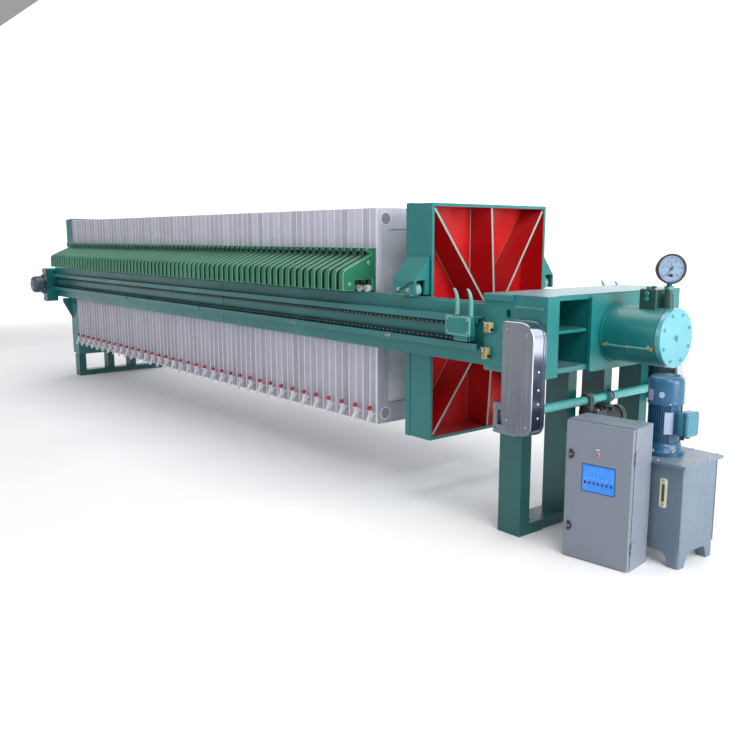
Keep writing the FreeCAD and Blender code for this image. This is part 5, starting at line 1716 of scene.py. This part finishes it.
# =====================================================================================
#  frame: welds at the leg feet
# =====================================================================================
def frame_details():
    m = Mesh()
    for sy in (-1, 1):
        # welds at the leg feet
        for (x0, x1, ya, yb) in ((605, 755, 0.484, 0.560), (-5876, -5756, 0.420, 0.496)):
            a, b = sorted((sy * ya, sy * yb))
            for yy in (a - 0.0005, b + 0.0005):
                weld(m, (px(x0 + 4), yy, 0.0612), (px(x1 - 4), yy, 0.0612), 0.0032, 0, 5) if abs(yy) < yb - 0.001 else None
            weld(m, (px(x1 + 0.5), a + 0.004, 0.0612), (px(x1 + 0.5), b - 0.004, 0.0612), 0.0035, 0, 5)
        for (x0, x1, ya, yb) in ((605, 755, 0.124, 0.196), (-5876, -5756, 0.094, 0.166)):
            a, b = sorted((sy * ya, sy * yb))
            weld(m, (px(x1 + 0.5), a + 0.004, 0.0612), (px(x1 + 0.5), b - 0.004, 0.0612), 0.0035, 0, 5)
            for yy in (a - 0.0005, b + 0.0005):
                weld(m, (px(x0 + 4), yy, 0.0612), (px(x1 - 4), yy, 0.0612), 0.0032, 0, 5)
    m.make("foot_welds", [M["leg"]], slot="frame_green")


frame_details()


#@@TAIL
# =====================================================================================
#  floor, light, camera
# =====================================================================================
def studio():
    m = Mesh()
    n = 10
    y0, y1, x0, x1 = -14.0, 12.0, -60.0, 14.0
    # floor running up into a curved backdrop on the far side
    prof = [(y0, -0.001), (y1 - 4, -0.001)]
    for k in range(1, n + 1):
        a = math.pi / 2 * k / n
        prof.append((y1 - 4 + 4 * math.sin(a), -0.001 + 4 - 4 * math.cos(a)))
    prof.append((y1, 14.0))
    v = [(x, y, z) for x in (x0, x1) for y, z in prof]
    k = len(prof)
    f = [(i, i + 1, k + i + 1, k + i) for i in range(k - 1)]
    m.add((v, f), 0)
    mm = Mat("studio_floor")
    nn = mm.noise(0.6, 2.0, 0.5)
    mm.done(mm.mix(mm.ramp(nn, 0.3, 0.7), (0.82, 0.82, 0.83), (0.86, 0.86, 0.87)), 0.85, mm.bump(mm.noise(30.0, 3.0), 0.02, 0.001), 0.0, 0.2)
    # the floor's glow rises towards the backdrop and the far end: a painted glow that whitens the background
    mm.p.inputs["Emission Color"].default_value = (1.0, 1.0, 1.0, 1.0)
    mm.link(mm.math("MAXIMUM", mm.ramp(mm.xyz()[1], 1.5, 8.0, 0.04, 0.80), mm.ramp(mm.xyz()[0], -7.0, -13.0, 0.04, 0.80)), mm.p.inputs["Emission Strength"])
    ob = m.make("studio_floor", [mm.mat], smooth=60)


studio()


def area(name, loc, aim, size, power, color=(1, 1, 1), sy=None):
    d = bpy.data.lights.new(name, "AREA")
    d.energy = power
    d.color = color
    d.size = size
    if sy:
        d.shape = "RECTANGLE"
        d.size_y = sy
    o = bpy.data.objects.new(name, d)
    bpy.context.scene.collection.objects.link(o)
    o.location = loc
    o.rotation_euler = (Vector(aim) - Vector(loc)).to_track_quat("-Z", "Y").to_euler()
    return o


area("key", (8.0, -3.0, 6.0), (0.8, 0, 0.9), 3.5, 300, (1.0, 0.99, 0.97))
area("front", (-3.0, -8.0, 4.5), (-1.5, 0, 0.9), 6.0, 150, (0.97, 0.98, 1.0), 4.0)
area("end", (10.5, 0.5, 2.6), (1.0, 0, 1.0), 4.0, 520, (0.98, 0.99, 1.0))
area("top", (0.0, 0.5, 7.5), (0.0, 0.0, 0.0), 9.0, 330, (1.0, 1.0, 1.0), 5.0)
area("back", (-6.0, 6.0, 4.0), (0.0, 0.0, 1.0), 4.0, 120)

w = bpy.data.worlds.new("studio")
bpy.context.scene.world = w
w.use_nodes = True
bg = next(n for n in w.node_tree.nodes if n.type == "BACKGROUND")
bg.inputs[0].default_value = (0.95, 0.97, 1.0, 1)
bg.inputs[1].default_value = 0.36

cam = bpy.data.cameras.new("camera")
cam.lens = 39.55
cam.sensor_width = 36.0
co = bpy.data.objects.new("camera", cam)
bpy.context.scene.collection.objects.link(co)
co.location = (px(3451), -3.743, 1.55)
co.rotation_euler = Vector((-0.7626, 0.6253, -0.1658)).to_track_quat("-Z", "Y").to_euler()
bpy.context.scene.camera = co

sc = bpy.context.scene
sc.view_settings.view_transform = "Standard"
sc.view_settings.look = "None"
sc.view_settings.exposure = 0.0
sc.view_settings.gamma = 1.0
sc.cycles.max_bounces = 8
sc.cycles.use_denoising = True

lo, hi = Vector((1e9,) * 3), Vector((-1e9,) * 3)
